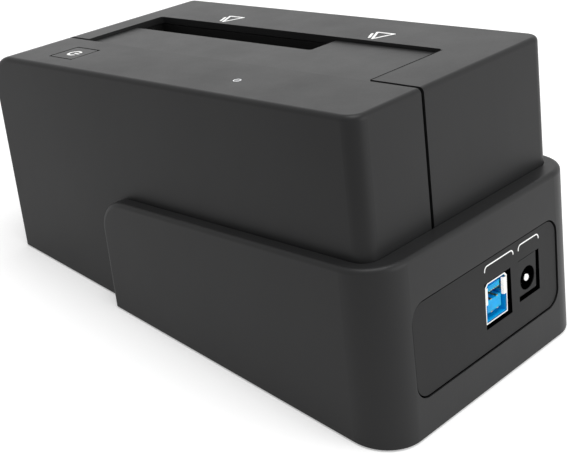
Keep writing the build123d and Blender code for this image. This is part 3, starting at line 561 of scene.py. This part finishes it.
class Finish(Enum):
    """The finishes of the dock."""

    casing = MouldedPlastic((0.0145, 0.0146, 0.015))
    shoe = MouldedPlastic((0.018, 0.0181, 0.0185))
    panel = MouldedPlastic((0.009, 0.009, 0.0093), roughness=0.5, specular=0.18, grain_scale=3600.0, wear_and_highlight=0.1)
    flap = MouldedPlastic((0.0145, 0.0147, 0.015), roughness=0.4)
    button = MouldedPlastic((0.0145, 0.0145, 0.0148), roughness=0.4, grain_scale=3400.0)
    inner_plastic = MouldedPlastic((0.005, 0.005, 0.005), roughness=0.65, specular=0.15, wear_and_highlight=0.05)
    # Sheenless black for painted shade: in gaps, in holes, in the power socket's bore and along the slot's
    # rear edge.
    void = MouldedPlastic((0.0005, 0.0005, 0.0005), roughness=0.9, specular=0.0, wear_and_highlight=0.0)
    chip = MouldedPlastic((0.02, 0.02, 0.021), roughness=0.55, grain_scale=5200.0, wear_and_highlight=0.1)
    rubber = Rubber()
    steel = Metal((0.56, 0.57, 0.58), roughness=0.36, streak=(1.0, 1.0, 6.0), tarnish=0.5)
    plated = Metal((0.83, 0.83, 0.81), roughness=0.2)
    contact = Metal((0.86, 0.62, 0.25), roughness=0.24)
    can = Metal((0.72, 0.72, 0.71), roughness=0.3, streak=(1.0, 1.0, 8.0))
    clear = ClearPlastic((0.16, 0.165, 0.17), transmission=0.2)
    blue_plastic = SocketPlastic((0.0, 0.42, 1.0))
    # A lighter copy of the blue plastic without scattering: painted light inside the square socket's shell.
    blue_lining = SocketPlastic((0.0, 0.5, 1.0), scatter=0.0)
    board = CircuitBoard()
    ink = Ink()
    # Near-white ring without transmission: a painted highlight on the activity light's lens edge.
    lens_rim = ClearPlastic((0.9, 0.92, 0.94), transmission=0.0)

    def made(self) -> bpy.types.Material:
        """The finish's one material, made when it is first asked for."""
        name = "dock_" + self.name
        return bpy.data.materials.get(name) or self.value.material(name)


@dataclass(frozen=True)
class LeaningPlane:
    """A plane of the leaning casing, drawn in two directions of its own and its normal."""

    origin: Vector
    right: Vector
    up: Vector

    @property
    def out(self) -> Vector:
        """Which way the plane faces."""
        return self.right.cross(self.up)

    def point(self, across: float, along: float, out: float = 0.0) -> Vector:
        """A point from its two places in the plane and its height over it."""
        return self.origin + self.right * across + self.up * along + self.out * out


@dataclass(frozen=True)
class Lean:
    """Where the leaning casing stands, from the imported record.

    The slot's mount lies on the top plane in the slot's middle, and the hinge's axis runs along the case.
    """

    slot_middle_u: float = -67.7 * MM
    rear_draft: float = radians(1.1)

    @property
    def along(self) -> Vector:
        """Direction of u, from the hinge's axis."""
        joints = {joint["name"]: joint for joint in frame["joints"]}
        return -Vector(joints["flap_hinge"]["axis"]).normalized()

    @property
    def upward(self) -> Vector:
        """Direction of w, square to u and to the side."""
        return self.along.cross(ACROSS).normalized()

    def mount(self, name: str) -> Vector:
        """Where one of the record's mounts lies."""
        mounts = {mount["name"]: mount for mount in frame["record"]["mounts"]}
        return Vector(mounts[name]["pos_m"])

    def place(self, point: Vector) -> Vector:
        """A point's places along u, v and w."""
        away = point - self.top().origin
        return Vector((away.dot(self.along), away.y, away.dot(self.upward)))

    def top(self, sink: float = 0.0) -> LeaningPlane:
        """The top plane, drawn in u and v.

        Args:
            sink: How far below the top the plane lies.

        Returns:
            The plane.
        """
        slot = self.mount("drive_slot")
        origin = Vector((slot.x, 0, slot.z)) - self.along * self.slot_middle_u - self.upward * sink
        return LeaningPlane(origin, self.along, ACROSS)

    def rear(self, recess: float) -> LeaningPlane:
        """The port panel's face, drawn in v and w.

        Args:
            recess: How far the power socket's mouth lies behind that face.

        Returns:
            The plane, which leans with the rear wall's draft.
        """
        mouth = self.mount("power_socket")
        climb = self.upward * cos(self.rear_draft) - self.along * sin(self.rear_draft)
        face = mouth + self.along * recess
        height = (self.mount("drive_slot") - face).dot(self.upward)
        return LeaningPlane(Vector((face.x, 0, face.z)) + climb * height, ACROSS, climb)


def add_ring(mesh: bmesh.types.BMesh, plane: LeaningPlane, outline: Sequence[Point2], height: float) -> Ring:
    """Adds an outline's corners at a height over a plane."""
    return [mesh.verts.new(plane.point(x, y, height)) for x, y in outline]


def join_rings(mesh: bmesh.types.BMesh, first: Ring, second: Ring, closed: bool = True) -> Faces:
    """Adds the faces between two rings with as many corners.

    Args:
        mesh: The mesh that holds them.
        first: The ring on one side.
        second: The ring on the other side.
        closed: Whether they run all the way round.

    Returns:
        The new faces.
    """
    count = len(first)
    steps = [(index, (index + 1) % count) for index in range(count if closed else count - 1)]
    return [mesh.faces.new((first[a], first[b], second[b], second[a])) for a, b in steps]


def add_object(name: str, data: bpy.types.ID) -> bpy.types.Object:
    """Puts a new object into the scene.

    Args:
        name: What it is called.
        data: Its mesh, lamp or camera.

    Returns:
        The object.
    """
    added = bpy.data.objects.new(name, data)
    bpy.context.scene.collection.objects.link(added)
    return added


def add_mesh(name: str, mesh: bmesh.types.BMesh) -> bpy.types.Object:
    """Turns a finished mesh into an object of the scene.

    Args:
        name: What the object and its mesh are called.
        mesh: The mesh, which is freed.

    Returns:
        The object.
    """
    data = bpy.data.meshes.new(name)
    mesh.to_mesh(data)
    mesh.free()
    return add_object(name, data)


class Sheet:
    """Flat shapes laid on a plane as thin solids in one mesh."""

    def __init__(self, name: str, plane: LeaningPlane, low: float, high: float) -> None:
        """Starts an empty sheet.

        Args:
            name: The piece's name.
            plane: The plane it lies on.
            low: Height of its underside over the plane.
            high: Height of its top.
        """
        self.name = name
        self.plane = plane
        self.low = low
        self.high = high
        self.mesh = bmesh.new()

    def band(self, outer: Sequence[Point2], inner: Sequence[Point2], closed: bool = True) -> None:
        """Adds a band between two outlines with as many points each.

        Args:
            outer: The outline on its outside.
            inner: The outline on its inside.
            closed: Whether it runs all the way round.
        """
        levels = ((outer, self.low), (outer, self.high), (inner, self.high), (inner, self.low))
        rings = [add_ring(self.mesh, self.plane, outline, height) for outline, height in levels]
        for first, second in zip(rings, rings[1:] + rings[:1]):
            join_rings(self.mesh, first, second, closed)
        if not closed:
            for end in (0, -1):
                self.mesh.faces.new([ring[end] for ring in rings])

    def patch(self, outline: Sequence[Point2]) -> None:
        """Adds a closed flat shape.

        Args:
            outline: Its corners, in order.
        """
        low = add_ring(self.mesh, self.plane, outline, self.low)
        high = add_ring(self.mesh, self.plane, outline, self.high)
        self.mesh.faces.new(high)
        self.mesh.faces.new(low[::-1])
        join_rings(self.mesh, low, high)

    def stroke(self, path: Sequence[Point2], width: float) -> None:
        """Adds a line of a given width with round ends along a path.

        Args:
            path: The line's middle, point by point.
            width: How wide it is.
        """
        half = width / 2
        left, right, headings = [], [], []
        for index, (x, y) in enumerate(path):
            before = path[max(index - 1, 0)]
            after = path[min(index + 1, len(path) - 1)]
            heading = atan2(after[1] - before[1], after[0] - before[0])
            step = (-sin(heading) * half, cos(heading) * half)
            left.append((x + step[0], y + step[1]))
            right.append((x - step[0], y - step[1]))
            headings.append(heading)
        start = headings[0] + pi / 2
        end = headings[-1] - pi / 2
        start_cap = arc(path[0], half, start, start + pi, END_STEPS)[1:-1]
        end_cap = arc(path[-1], half, end, end + pi, END_STEPS)[1:-1]
        self.patch(left[::-1] + start_cap + right + end_cap)

    def finish(self, body: str, slot: str, finish: Finish, bevel: float) -> None:
        """Turns the sheet into a piece with softened edges.

        Args:
            body: The body it rides on.
            slot: Not used.
            finish: Its finish.
            bevel: How far its edges are rounded.
        """
        bmesh.ops.recalc_face_normals(self.mesh, faces=self.mesh.faces)
        piece = add_mesh(self.name, self.mesh)
        rounding = piece.modifiers.new("soft_edges", "BEVEL")
        rounding.width = bevel
        rounding.segments = BEVEL_SEGMENTS
        rounding.limit_method = "ANGLE"
        carry(piece, body, finish)


def arc(middle: Point2, radius: float, start: float, end: float, steps: int) -> list[Point2]:
    """Points along an arc.

    Args:
        middle: Its centre.
        radius: Its radius.
        start: The angle of its first point.
        end: The angle of its last point.
        steps: How many steps it has.

    Returns:
        One point more than the steps.
    """
    angles = [start + (end - start) * index / steps for index in range(steps + 1)]
    return [(middle[0] + radius * cos(angle), middle[1] + radius * sin(angle)) for angle in angles]


def rectangle(left: float, right: float, under: float, over: float) -> list[Point2]:
    """Corners of a rectangle, anticlockwise."""
    return [(left, under), (right, under), (right, over), (left, over)]


def circle(middle: Point2, radius: float) -> list[Point2]:
    """Points round a circle, without the last, which is the first again."""
    return arc(middle, radius, 0, pi + pi, CIRCLE_STEPS)[:-1]


def inset(corners: Sequence[Point2], distance: float) -> list[Point2]:
    """Moves a polygon's corners inwards.

    Args:
        corners: The polygon, anticlockwise.
        distance: How far from its sides the new ones lie.

    Returns:
        The new corners.
    """
    moved = []
    for index, (x, y) in enumerate(corners):
        before, after = corners[index - 1], corners[(index + 1) % len(corners)]
        arriving = Vector((x - before[0], y - before[1])).normalized()
        leaving = Vector((after[0] - x, after[1] - y)).normalized()
        half = (leaving - arriving).normalized()
        depth = distance / half.dot(Vector((-leaving.y, leaving.x)))
        moved.append((x + half.x * depth, y + half.y * depth))
    return moved


def softened(corners: Sequence[Point2], distance: float, radius: float, steps: int) -> list[Point2]:
    """An outline inside a polygon with its corners rounded.

    Args:
        corners: The polygon, anticlockwise.
        distance: How far the outline lies inside its sides.
        radius: The radius of its corners.
        steps: How many steps each corner has.

    Returns:
        The outline's points.
    """
    outline = []
    for index, middle in enumerate(inset(corners, distance + radius)):
        x, y = corners[index]
        before, after = corners[index - 1], corners[(index + 1) % len(corners)]
        start = atan2(y - before[1], x - before[0]) - pi / 2
        end = atan2(after[1] - y, after[0] - x) - pi / 2
        outline += arc(middle, radius, start, end if end > start else end + pi + pi, steps)
    return outline


def turned(name: str, plane: LeaningPlane, middle: Point2, profile: Sequence[Point2]) -> bpy.types.Object:
    """A ring turned about a plane's normal.

    Args:
        name: The piece's name.
        plane: The plane it stands on.
        middle: Where the axis meets the plane.
        profile: Its closed section, each point a radius and a height over the plane.

    Returns:
        The ring, without a finish or a body.
    """
    mesh = bmesh.new()
    rings = [add_ring(mesh, plane, circle(middle, radius), height) for radius, height in profile]
    for first, second in zip(rings, rings[1:] + rings[:1]):
        for face in join_rings(mesh, first, second):
            face.smooth = True
    bmesh.ops.recalc_face_normals(mesh, faces=mesh.faces)
    return add_mesh(name, mesh)


def carry(piece: bpy.types.Object, body: str, finish: Finish) -> None:
    """Gives a piece its finish and the body that it rides on.

    Args:
        piece: The piece.
        body: The body it rides on.
        finish: Its finish.
    """
    piece.data.materials.append(finish.made())
    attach(piece, body)
    log.info("piece %s rides on %s", piece.name, body)


class SubAssembly:
    """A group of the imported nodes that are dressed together."""

    nodes: ClassVar[Mapping[str, Finish]] = {}

    def dress(self) -> None:
        """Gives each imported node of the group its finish."""
        for name, finish in self.nodes.items():
            data = frame["nodes"][name].data
            data.materials.clear()
            data.materials.append(finish.made())
            log.info("node %s wears %s", name, finish.name)

    def build(self) -> None:
        """Makes the group's own pieces, where it has any."""


@dataclass
class Casing(SubAssembly):
    """The two halves of the leaning case, with the printed marks beside the slot and a line of painted shade
    along its rear edge.
    """

    lean: Lean
    print_depth: float = 0.02 * MM
    print_sink: float = 0.005 * MM
    print_bevel: float = 0.005 * MM
    line_width: float = 0.75 * MM
    line_corner: float = 0.12 * MM
    corner_steps: int = 5
    mark_places: tuple[float, ...] = (-98.0 * MM, -42.0 * MM)
    mark_side: float = 5.6 * MM
    mark_point: float = 3.0 * MM
    mark_height: float = 5.85 * MM
    mark_v: float = 23.05 * MM
    bar_gap: float = 1.15 * MM
    bar_ends: Point2 = (0.2, 0.8)
    # Place, span and width of the line of painted shade along the slot's rear edge.
    shade_line_place: float = -15.0 * MM
    shade_line_span: Point2 = (-12.5 * MM, 14.6 * MM)
    shade_line_width: float = 0.28 * MM
    nodes: ClassVar[Mapping[str, Finish]] = {
        "near_shell": Finish.casing,
        "far_shell": Finish.casing,
    }

    def build(self) -> None:
        """Prints a mark at each end of the slot's far edge, and lays a line of painted shade along its rear
        edge.
        """
        sheet = Sheet("slot_marks", self.lean.top(), -self.print_sink, self.print_depth)
        for u in self.mark_places:
            self.mark(sheet, u)
        sheet.finish("case", "casing", Finish.ink, self.print_bevel)
        self.paint_edge_shade()

    def paint_edge_shade(self) -> None:
        """Lays a thin black line of painted shade along the slot's rear edge."""
        sheet = Sheet("slot_edge_line", self.lean.top(), -self.print_sink, self.print_depth)
        u = self.shade_line_place
        # A black strip of painted shade at the step down to the flap.
        sheet.stroke([(u, v) for v in self.shade_line_span], self.shade_line_width)
        sheet.finish("case", "casing", Finish.void, self.print_bevel)

    def mark(self, sheet: Sheet, u: float) -> None:
        """Prints one triangle with a bar beside it.

        Args:
            sheet: What it is printed with.
            u: Where the triangle's far corner lies along the top.
        """
        far_left = (u, self.mark_v)
        far_right = (u + self.mark_side, self.mark_v)
        tip = (u + self.mark_point, self.mark_v - self.mark_height)
        corners = [far_left, tip, far_right]
        half = self.line_width / 2
        outer = softened(corners, -half, half, self.corner_steps)
        sheet.band(outer, softened(corners, half, self.line_corner, self.corner_steps))
        run = Vector(tip) - Vector(far_left)
        away = Vector((run.y, -run.x)).normalized() * self.bar_gap
        ends = [Vector(far_left) + run * share + away for share in self.bar_ends]
        sheet.stroke([tuple(end) for end in ends], self.line_width)


@dataclass
class BaseShoe(SubAssembly):
    """The shoe round the rear of the case, with its bottom cover and feet."""

    nodes: ClassVar[Mapping[str, Finish]] = {
        "base_shoe": Finish.shoe,
        "bottom_cover": Finish.casing,
        "rubber_feet": Finish.rubber,
    }


@dataclass
class PortPanel(SubAssembly):
    """The sunk panel with its two sockets, their linings, the painted shade in their holes and round the
    panel, and the printed brackets over them.
    """

    lean: Lean
    socket_recess: float = 0.2 * MM
    print_depth: float = 0.02 * MM
    print_sink: float = 0.01 * MM
    print_bevel: float = 0.005 * MM
    line_width: float = 0.36 * MM
    bracket_spans: tuple[Point2, ...] = ((-1.4 * MM, 10.75 * MM), (13.05 * MM, 22.1 * MM))
    bracket_top: float = -46.95 * MM
    bracket_drop: float = 1.25 * MM
    bracket_round: float = 1.15 * MM
    round_steps: int = 10
    bore: float = 3.2 * MM
    bore_depth: float = 11.0 * MM
    pin: float = 1.05 * MM
    sleeve: float = 0.2 * MM
    sleeve_fit: float = 0.025 * MM
    sleeve_start: float = 0.25 * MM
    spring_wall: float = 4.25 * MM
    spring_path: tuple[Point2, ...] = (
        (0.12 * MM, 0.05 * MM), (0.14 * MM, 0.7 * MM), (0.8 * MM, 0.95 * MM), (1.9 * MM, 0.92 * MM),
        (4.0 * MM, 0.45 * MM), (6.0 * MM, 0.15 * MM),
    )
    spring_leaf: float = 0.22 * MM
    leaf_bevel: float = 0.0275 * MM
    spring_span: Point2 = (-0.4 * MM, 4.2 * MM)
    usb_hole: Span2 = ((-4.8 * MM, 6.35 * MM), (-6.65 * MM, 5.65 * MM))
    jack_hole: Span2 = ((-4.1 * MM, 5.2 * MM), (-5.15 * MM, 6.05 * MM))
    painted_shade_depths: Point2 = (-1.4 * MM, -0.04 * MM)
    panel_half: Point2 = (30.2 * MM, 12.4 * MM)
    panel_drop: float = 0.5 * MM
    panel_round: float = 4.6 * MM
    # Width and depths of the painted shade in the gap round the panel.
    gap_shade_width: float = 0.43 * MM
    gap_shade_depths: Point2 = (-1.4 * MM, -0.12 * MM)
    lining_half: Point2 = (4.25 * MM, 5.1 * MM)
    lining_clip: float = 0.9 * MM
    lining_depths: Point2 = (-12.5 * MM, -0.4 * MM)
    wall: float = 0.06 * MM
    wall_bevel: float = 0.0075 * MM
    fit: float = 0.01 * MM
    nodes: ClassVar[Mapping[str, Finish]] = {
        "port_panel": Finish.panel,
        "usb_shell": Finish.plated,
        "usb_insulator": Finish.blue_plastic,
        "usb_contacts": Finish.contact,
        "jack_housing": Finish.panel,
        "jack_centre_pin": Finish.plated,
        "jack_contact": Finish.plated,
    }

    def build(self) -> None:
        """Adds the prints, the small parts and linings inside the two sockets, and the painted shade in the
        holes and round the panel.
        """
        self.brackets()
        self.jack_sleeve()
        self.side_springs()
        self.painted_hole_shades()
        self.panel_seal()
        self.usb_lining()

    def painted_hole_shades(self) -> None:
        """Lines the walls of the two holes in the panel with matt black, painted shade in the gaps round the
        sockets.
        """
        for name, hole in (("usb_socket", self.usb_hole), ("power_socket", self.jack_hole)):
            socket = self.lean.place(self.lean.mount(name))
            (left, right), (under, over) = hole
            corners = rectangle(socket.y + left, socket.y + right, socket.z + under, socket.z + over)
            sheet = Sheet(name + "_shade", self.lean.rear(self.socket_recess), *self.painted_shade_depths)
            # Black walls: painted shade in the gaps round the sockets.
            sheet.band(inset(corners, self.fit), inset(corners, self.fit + self.wall))
            sheet.finish("case", "panel", Finish.void, self.wall_bevel)

    def panel_seal(self) -> None:
        """Fills the gap round the panel with a thin black band of painted shade."""
        width, height = self.panel_half
        middle = self.lean.place(self.lean.mount("usb_socket")).z - self.panel_drop
        corners = rectangle(-width, width, middle - height, middle + height)
        sheet = Sheet("panel_seal", self.lean.rear(self.socket_recess), *self.gap_shade_depths)
        rims = [
            softened(corners, distance, self.panel_round - distance, self.round_steps)
            for distance in (self.fit, self.gap_shade_width)
        ]
        # A black band of painted shade fills the gap.
        sheet.band(*rims)
        sheet.finish("case", "panel", Finish.void, self.wall_bevel)

    def usb_lining(self) -> None:
        """Lines the square socket's shell with a lighter copy of the insulator's blue plastic, painted light
        in the shell's shaded inside.
        """
        width, height = self.lining_half
        clip = self.lining_clip
        corners = [(-width, -height), (width, -height), (width, height - clip), (width - clip, height),
                   (clip - width, height), (-width, height - clip)]
        mouth = self.lean.mount("usb_socket")
        plane = LeaningPlane(mouth, ACROSS, self.lean.upward)
        sheet = Sheet("usb_lining", plane, *self.lining_depths)
        sheet.band(inset(corners, self.fit), inset(corners, self.fit + self.wall))
        # The lighter blue is painted light in the shaded shell.
        sheet.finish("case", "blue_plastic", Finish.blue_lining, self.wall_bevel)

    def jack_sleeve(self) -> None:
        """Lines the power socket's bore with a thin sheenless black sleeve, painted shade over the bore's
        black plastic.
        """
        mouth = self.lean.mount("power_socket")
        plane = LeaningPlane(mouth, ACROSS, self.lean.upward)
        outer = self.bore - self.sleeve_fit
        inner = self.bore - self.sleeve
        floor = self.sleeve - self.bore_depth
        base = self.pin + self.sleeve
        profile = [(outer, -self.sleeve_start), (inner, -self.sleeve_start), (inner, floor), (base, floor),
                   (base, floor - self.sleeve / 2), (outer, floor - self.sleeve / 2)]
        # The sheenless black sleeve is painted shade in the bore.
        carry(turned("jack_sleeve", plane, (0, 0), profile), "case", Finish.void)

    def side_springs(self) -> None:
        """Bends a leaf spring inwards from each side of the square socket's shell."""
        socket = self.lean.place(self.lean.mount("usb_socket"))
        low, high = (socket.z + height for height in self.spring_span)
        sheet = Sheet("usb_side_springs", self.lean.top(), low, high)
        for side in (-1, 1):
            wall = socket.y + side * self.spring_wall
            path = [(socket.x - depth, wall - side * bulge) for depth, bulge in self.spring_path]
            sheet.stroke(path, self.spring_leaf)
        sheet.finish("case", "plated", Finish.plated, self.leaf_bevel)

    def brackets(self) -> None:
        """Prints a bracket over each socket."""
        plane = self.lean.rear(self.socket_recess)
        sheet = Sheet("port_brackets", plane, -self.print_sink, self.print_depth)
        for left, right in self.bracket_spans:
            foot = self.bracket_top - self.bracket_drop
            turn = self.bracket_top - self.bracket_round
            rise = arc((left + self.bracket_round, turn), self.bracket_round, pi, pi / 2, self.round_steps)
            fall = arc((right - self.bracket_round, turn), self.bracket_round, pi / 2, 0, self.round_steps)
            sheet.stroke([(left, foot), *rise, *fall, (right, foot)], self.line_width)
        sheet.finish("case", "panel", Finish.ink, self.print_bevel)


@dataclass
class SlotFlap(SubAssembly):
    """The sprung flap that closes the slot, with its hinge and the bay under it."""

    nodes: ClassVar[Mapping[str, Finish]] = {
        "slot_flap": Finish.flap,
        "hinge_rod": Finish.steel,
        "flap_springs": Finish.steel,
        "bay_frame": Finish.inner_plastic,
    }


@dataclass
class PowerButton(SubAssembly):
    """The button with its white standby sign, and the switch under it."""

    lean: Lean
    place: Point2 = (-110.5 * MM, -25.05 * MM)
    recess: float = 0.02 * MM
    ring_radius: float = 2.15 * MM
    ring_width: float = 0.85 * MM
    ring_opening: float = 1.9 * MM
    ring_steps: int = 64
    bar_length: float = 2.15 * MM
    fit: float = 0.01 * MM
    depth: float = 0.38 * MM
    sink: float = 0.02 * MM
    bevel: float = 0.02 * MM
    nodes: ClassVar[Mapping[str, Finish]] = {
        "power_button": Finish.button,
        "switch_body": Finish.chip,
        "switch_plunger": Finish.inner_plastic,
        "button_board": Finish.board,
    }

    def build(self) -> None:
        """Fills the grooves of the standby sign with white."""
        sheet = Sheet("standby_sign", self.lean.top(self.recess), -self.depth, -self.sink)
        sides = []
        for radius in (self.ring_radius - self.fit, self.ring_radius - self.ring_width + self.fit):
            start = asin((self.ring_opening / 2 + self.fit) / radius)
            sides.append(arc(self.place, radius, start, pi + pi - start, self.ring_steps))
        sheet.band(*sides, closed=False)
        half_width = self.ring_width / 2 - self.fit
        u, v = self.place
        bar_end = u + self.bar_length - self.fit
        sheet.patch(rectangle(u + self.fit, bar_end, v - half_width, v + half_width))
        sheet.finish("button", "button", Finish.ink, self.bevel)


@dataclass
class Electronics(SubAssembly):
    """The boards, their parts, the drive connector and the activity light."""

    lean: Lean
    light_place: Point2 = (-45.39 * MM, -25.8 * MM)
    rim_profile: tuple[Point2, ...] = (
        (1.08 * MM, -0.1 * MM), (1.06 * MM, 0.02 * MM), (0.95 * MM, 0.07 * MM), (0.82 * MM, 0.05 * MM),
        (0.76 * MM, -0.1 * MM),
    )
    nodes: ClassVar[Mapping[str, Finish]] = {
        "light_pipe": Finish.clear,
        "activity_led": Finish.clear,
        "light_board": Finish.board,
        "sata_board": Finish.board,
        "io_board": Finish.board,
        "sata_connector": Finish.inner_plastic,
        "sata_contacts": Finish.contact,
        "link_socket": Finish.inner_plastic,
        "link_pins": Finish.inner_plastic,
        "bridge_chip": Finish.chip,
        "flash_chip": Finish.chip,
        "inductor": Finish.chip,
        "crystal": Finish.can,
        "capacitors": Finish.can,
        "pin_headers": Finish.inner_plastic,
    }

    def build(self) -> None:
        """Raises a rounded rim round the activity light, coloured near white as a painted highlight on the
        lens's edge.
        """
        # The near-white rim is a painted highlight.
        rim = turned("light_rim", self.lean.top(), self.light_place, self.rim_profile)
        carry(rim, "case", Finish.lens_rim)


@dataclass
class Fasteners(SubAssembly):
    """Every screw of the dock."""

    nodes: ClassVar[Mapping[str, Finish]] = {
        name: Finish.steel
        for name in ("case_screws", "shoe_screws", "frame_screws", "small_board_screws",
                     "sata_board_screws", "io_board_screws")
    }


@dataclass(frozen=True)
class Lamp:
    """A square soft lamp that faces the dock."""

    name: str
    size: float
    watts: float
    place: Point3

    def hang(self) -> None:
        """Hangs the lamp in its place."""
        data = bpy.data.lights.new(self.name, "AREA")
        data.size = self.size
        data.energy = self.watts
        lamp = add_object(self.name, data)
        lamp.location = self.place
        lamp.rotation_euler = (-Vector(self.place)).to_track_quat("-Z", "Y").to_euler()


@dataclass
class Studio:
    """A plain pale floor in a white room, with soft lamps at a plain level."""

    floor_half: float = 4.0
    floor_colour: Colour = (0.8, 0.8, 0.8)
    floor_roughness: float = 0.9
    mottle: Grain = Grain(6.0, 2)
    mottle_shade: float = 0.99
    floor_lift: float = 0.34
    room_light: float = 0.4
    lamps: tuple[Lamp, ...] = (
        Lamp("overhead_lamp", 0.7, 8.0, (0.0, 0.0, 1.1)),
        Lamp("side_lamp", 0.9, 6.0, (1.05, 0.35, 0.4)),
        Lamp("back_lamp", 1.0, 0.7, (-0.92, 0.83, 0.37)),
    )

    def build(self) -> None:
        """Makes the floor and the room, and hangs the lamps."""
        self.floor()
        self.room()
        for lamp in self.lamps:
            lamp.hang()

    def floor(self) -> None:
        """Lays the floor, white to the camera but for the shadow on it."""
        half = self.floor_half
        mesh = bmesh.new()
        mesh.faces.new([mesh.verts.new((x, y, 0)) for x, y in rectangle(-half, half, -half, half)])
        floor = add_mesh("floor", mesh)
        surface = Surface("floor_paper")
        mottle = surface.noise(surface.place, self.mottle)
        darker = shade(self.floor_colour, self.mottle_shade)
        lift = shade(WHITE, self.floor_lift)
        surface.set(
            Base_Color=surface.blend(self.floor_colour, darker, mottle),
            Roughness=self.floor_roughness,
            Specular_IOR_Level=0.0,
            Emission_Color=surface.blend(BLACK, lift, surface.seen_rays()),
            Emission_Strength=1.0,
        )
        floor.data.materials.append(surface.material)

    def room(self) -> None:
        """Lights the room evenly, and shows it white to camera, glossy and transmission rays."""
        world = bpy.data.worlds.new("white_room")
        world.use_nodes = True
        bpy.context.scene.world = world
        nodes = Nodes(world.node_tree)
        level = shade(WHITE, self.room_light)
        lit = nodes.add("ShaderNodeBackground", {}, {"Color": level, "Strength": 1.0})
        seen = nodes.add("ShaderNodeBackground", {}, {"Color": WHITE, "Strength": 1.0})
        shown = nodes.mixed(lit, seen, nodes.seen_rays())
        output = world.node_tree.nodes["World Output"]
        world.node_tree.links.new(shown.socket, output.inputs["Surface"])


@dataclass
class Camera:
    """The photograph's camera, fitted to the edges of the dock in it."""

    place: Point3 = (197.61 * MM, -207.85 * MM, 172.58 * MM)
    azimuth: float = radians(42.92)
    elevation: float = radians(28.53)
    roll: float = radians(0.157)
    lens: float = 73.47
    sensor: float = 36.0
    shift: Point2 = (-0.0027, -0.0025)
    nearest: float = 0.01

    def build(self) -> None:
        """Puts the camera where the photograph was taken from."""
        data = bpy.data.cameras.new("photo_camera")
        data.lens = self.lens
        data.sensor_width = self.sensor
        data.shift_x, data.shift_y = self.shift
        data.clip_start = self.nearest
        camera = add_object("photo_camera", data)
        flat = cos(self.elevation)
        back = Vector((sin(self.azimuth) * flat, -cos(self.azimuth) * flat, sin(self.elevation)))
        right = Vector((cos(self.azimuth), sin(self.azimuth), 0))
        axes = Matrix((right, back.cross(right), back)).transposed().to_4x4()
        roll = Matrix.Rotation(self.roll, MATRIX_SIZE, "Z")
        camera.matrix_world = Matrix.Translation(self.place) @ axes @ roll
        bpy.context.scene.camera = camera


def main() -> None:
    """Builds and dresses the dock, then the room round it."""
    logging.basicConfig(level=logging.INFO, format="%(message)s")
    bpy.context.scene.view_settings.view_transform = "Standard"
    lean = Lean()
    groups: Iterable[SubAssembly] = (
        Casing(lean), BaseShoe(), PortPanel(lean), SlotFlap(),
        PowerButton(lean), Electronics(lean), Fasteners(),
    )
    for group in groups:
        group.dress()
        group.build()
    Camera().build()
    Studio().build()


if __name__ == "__main__":
    main()
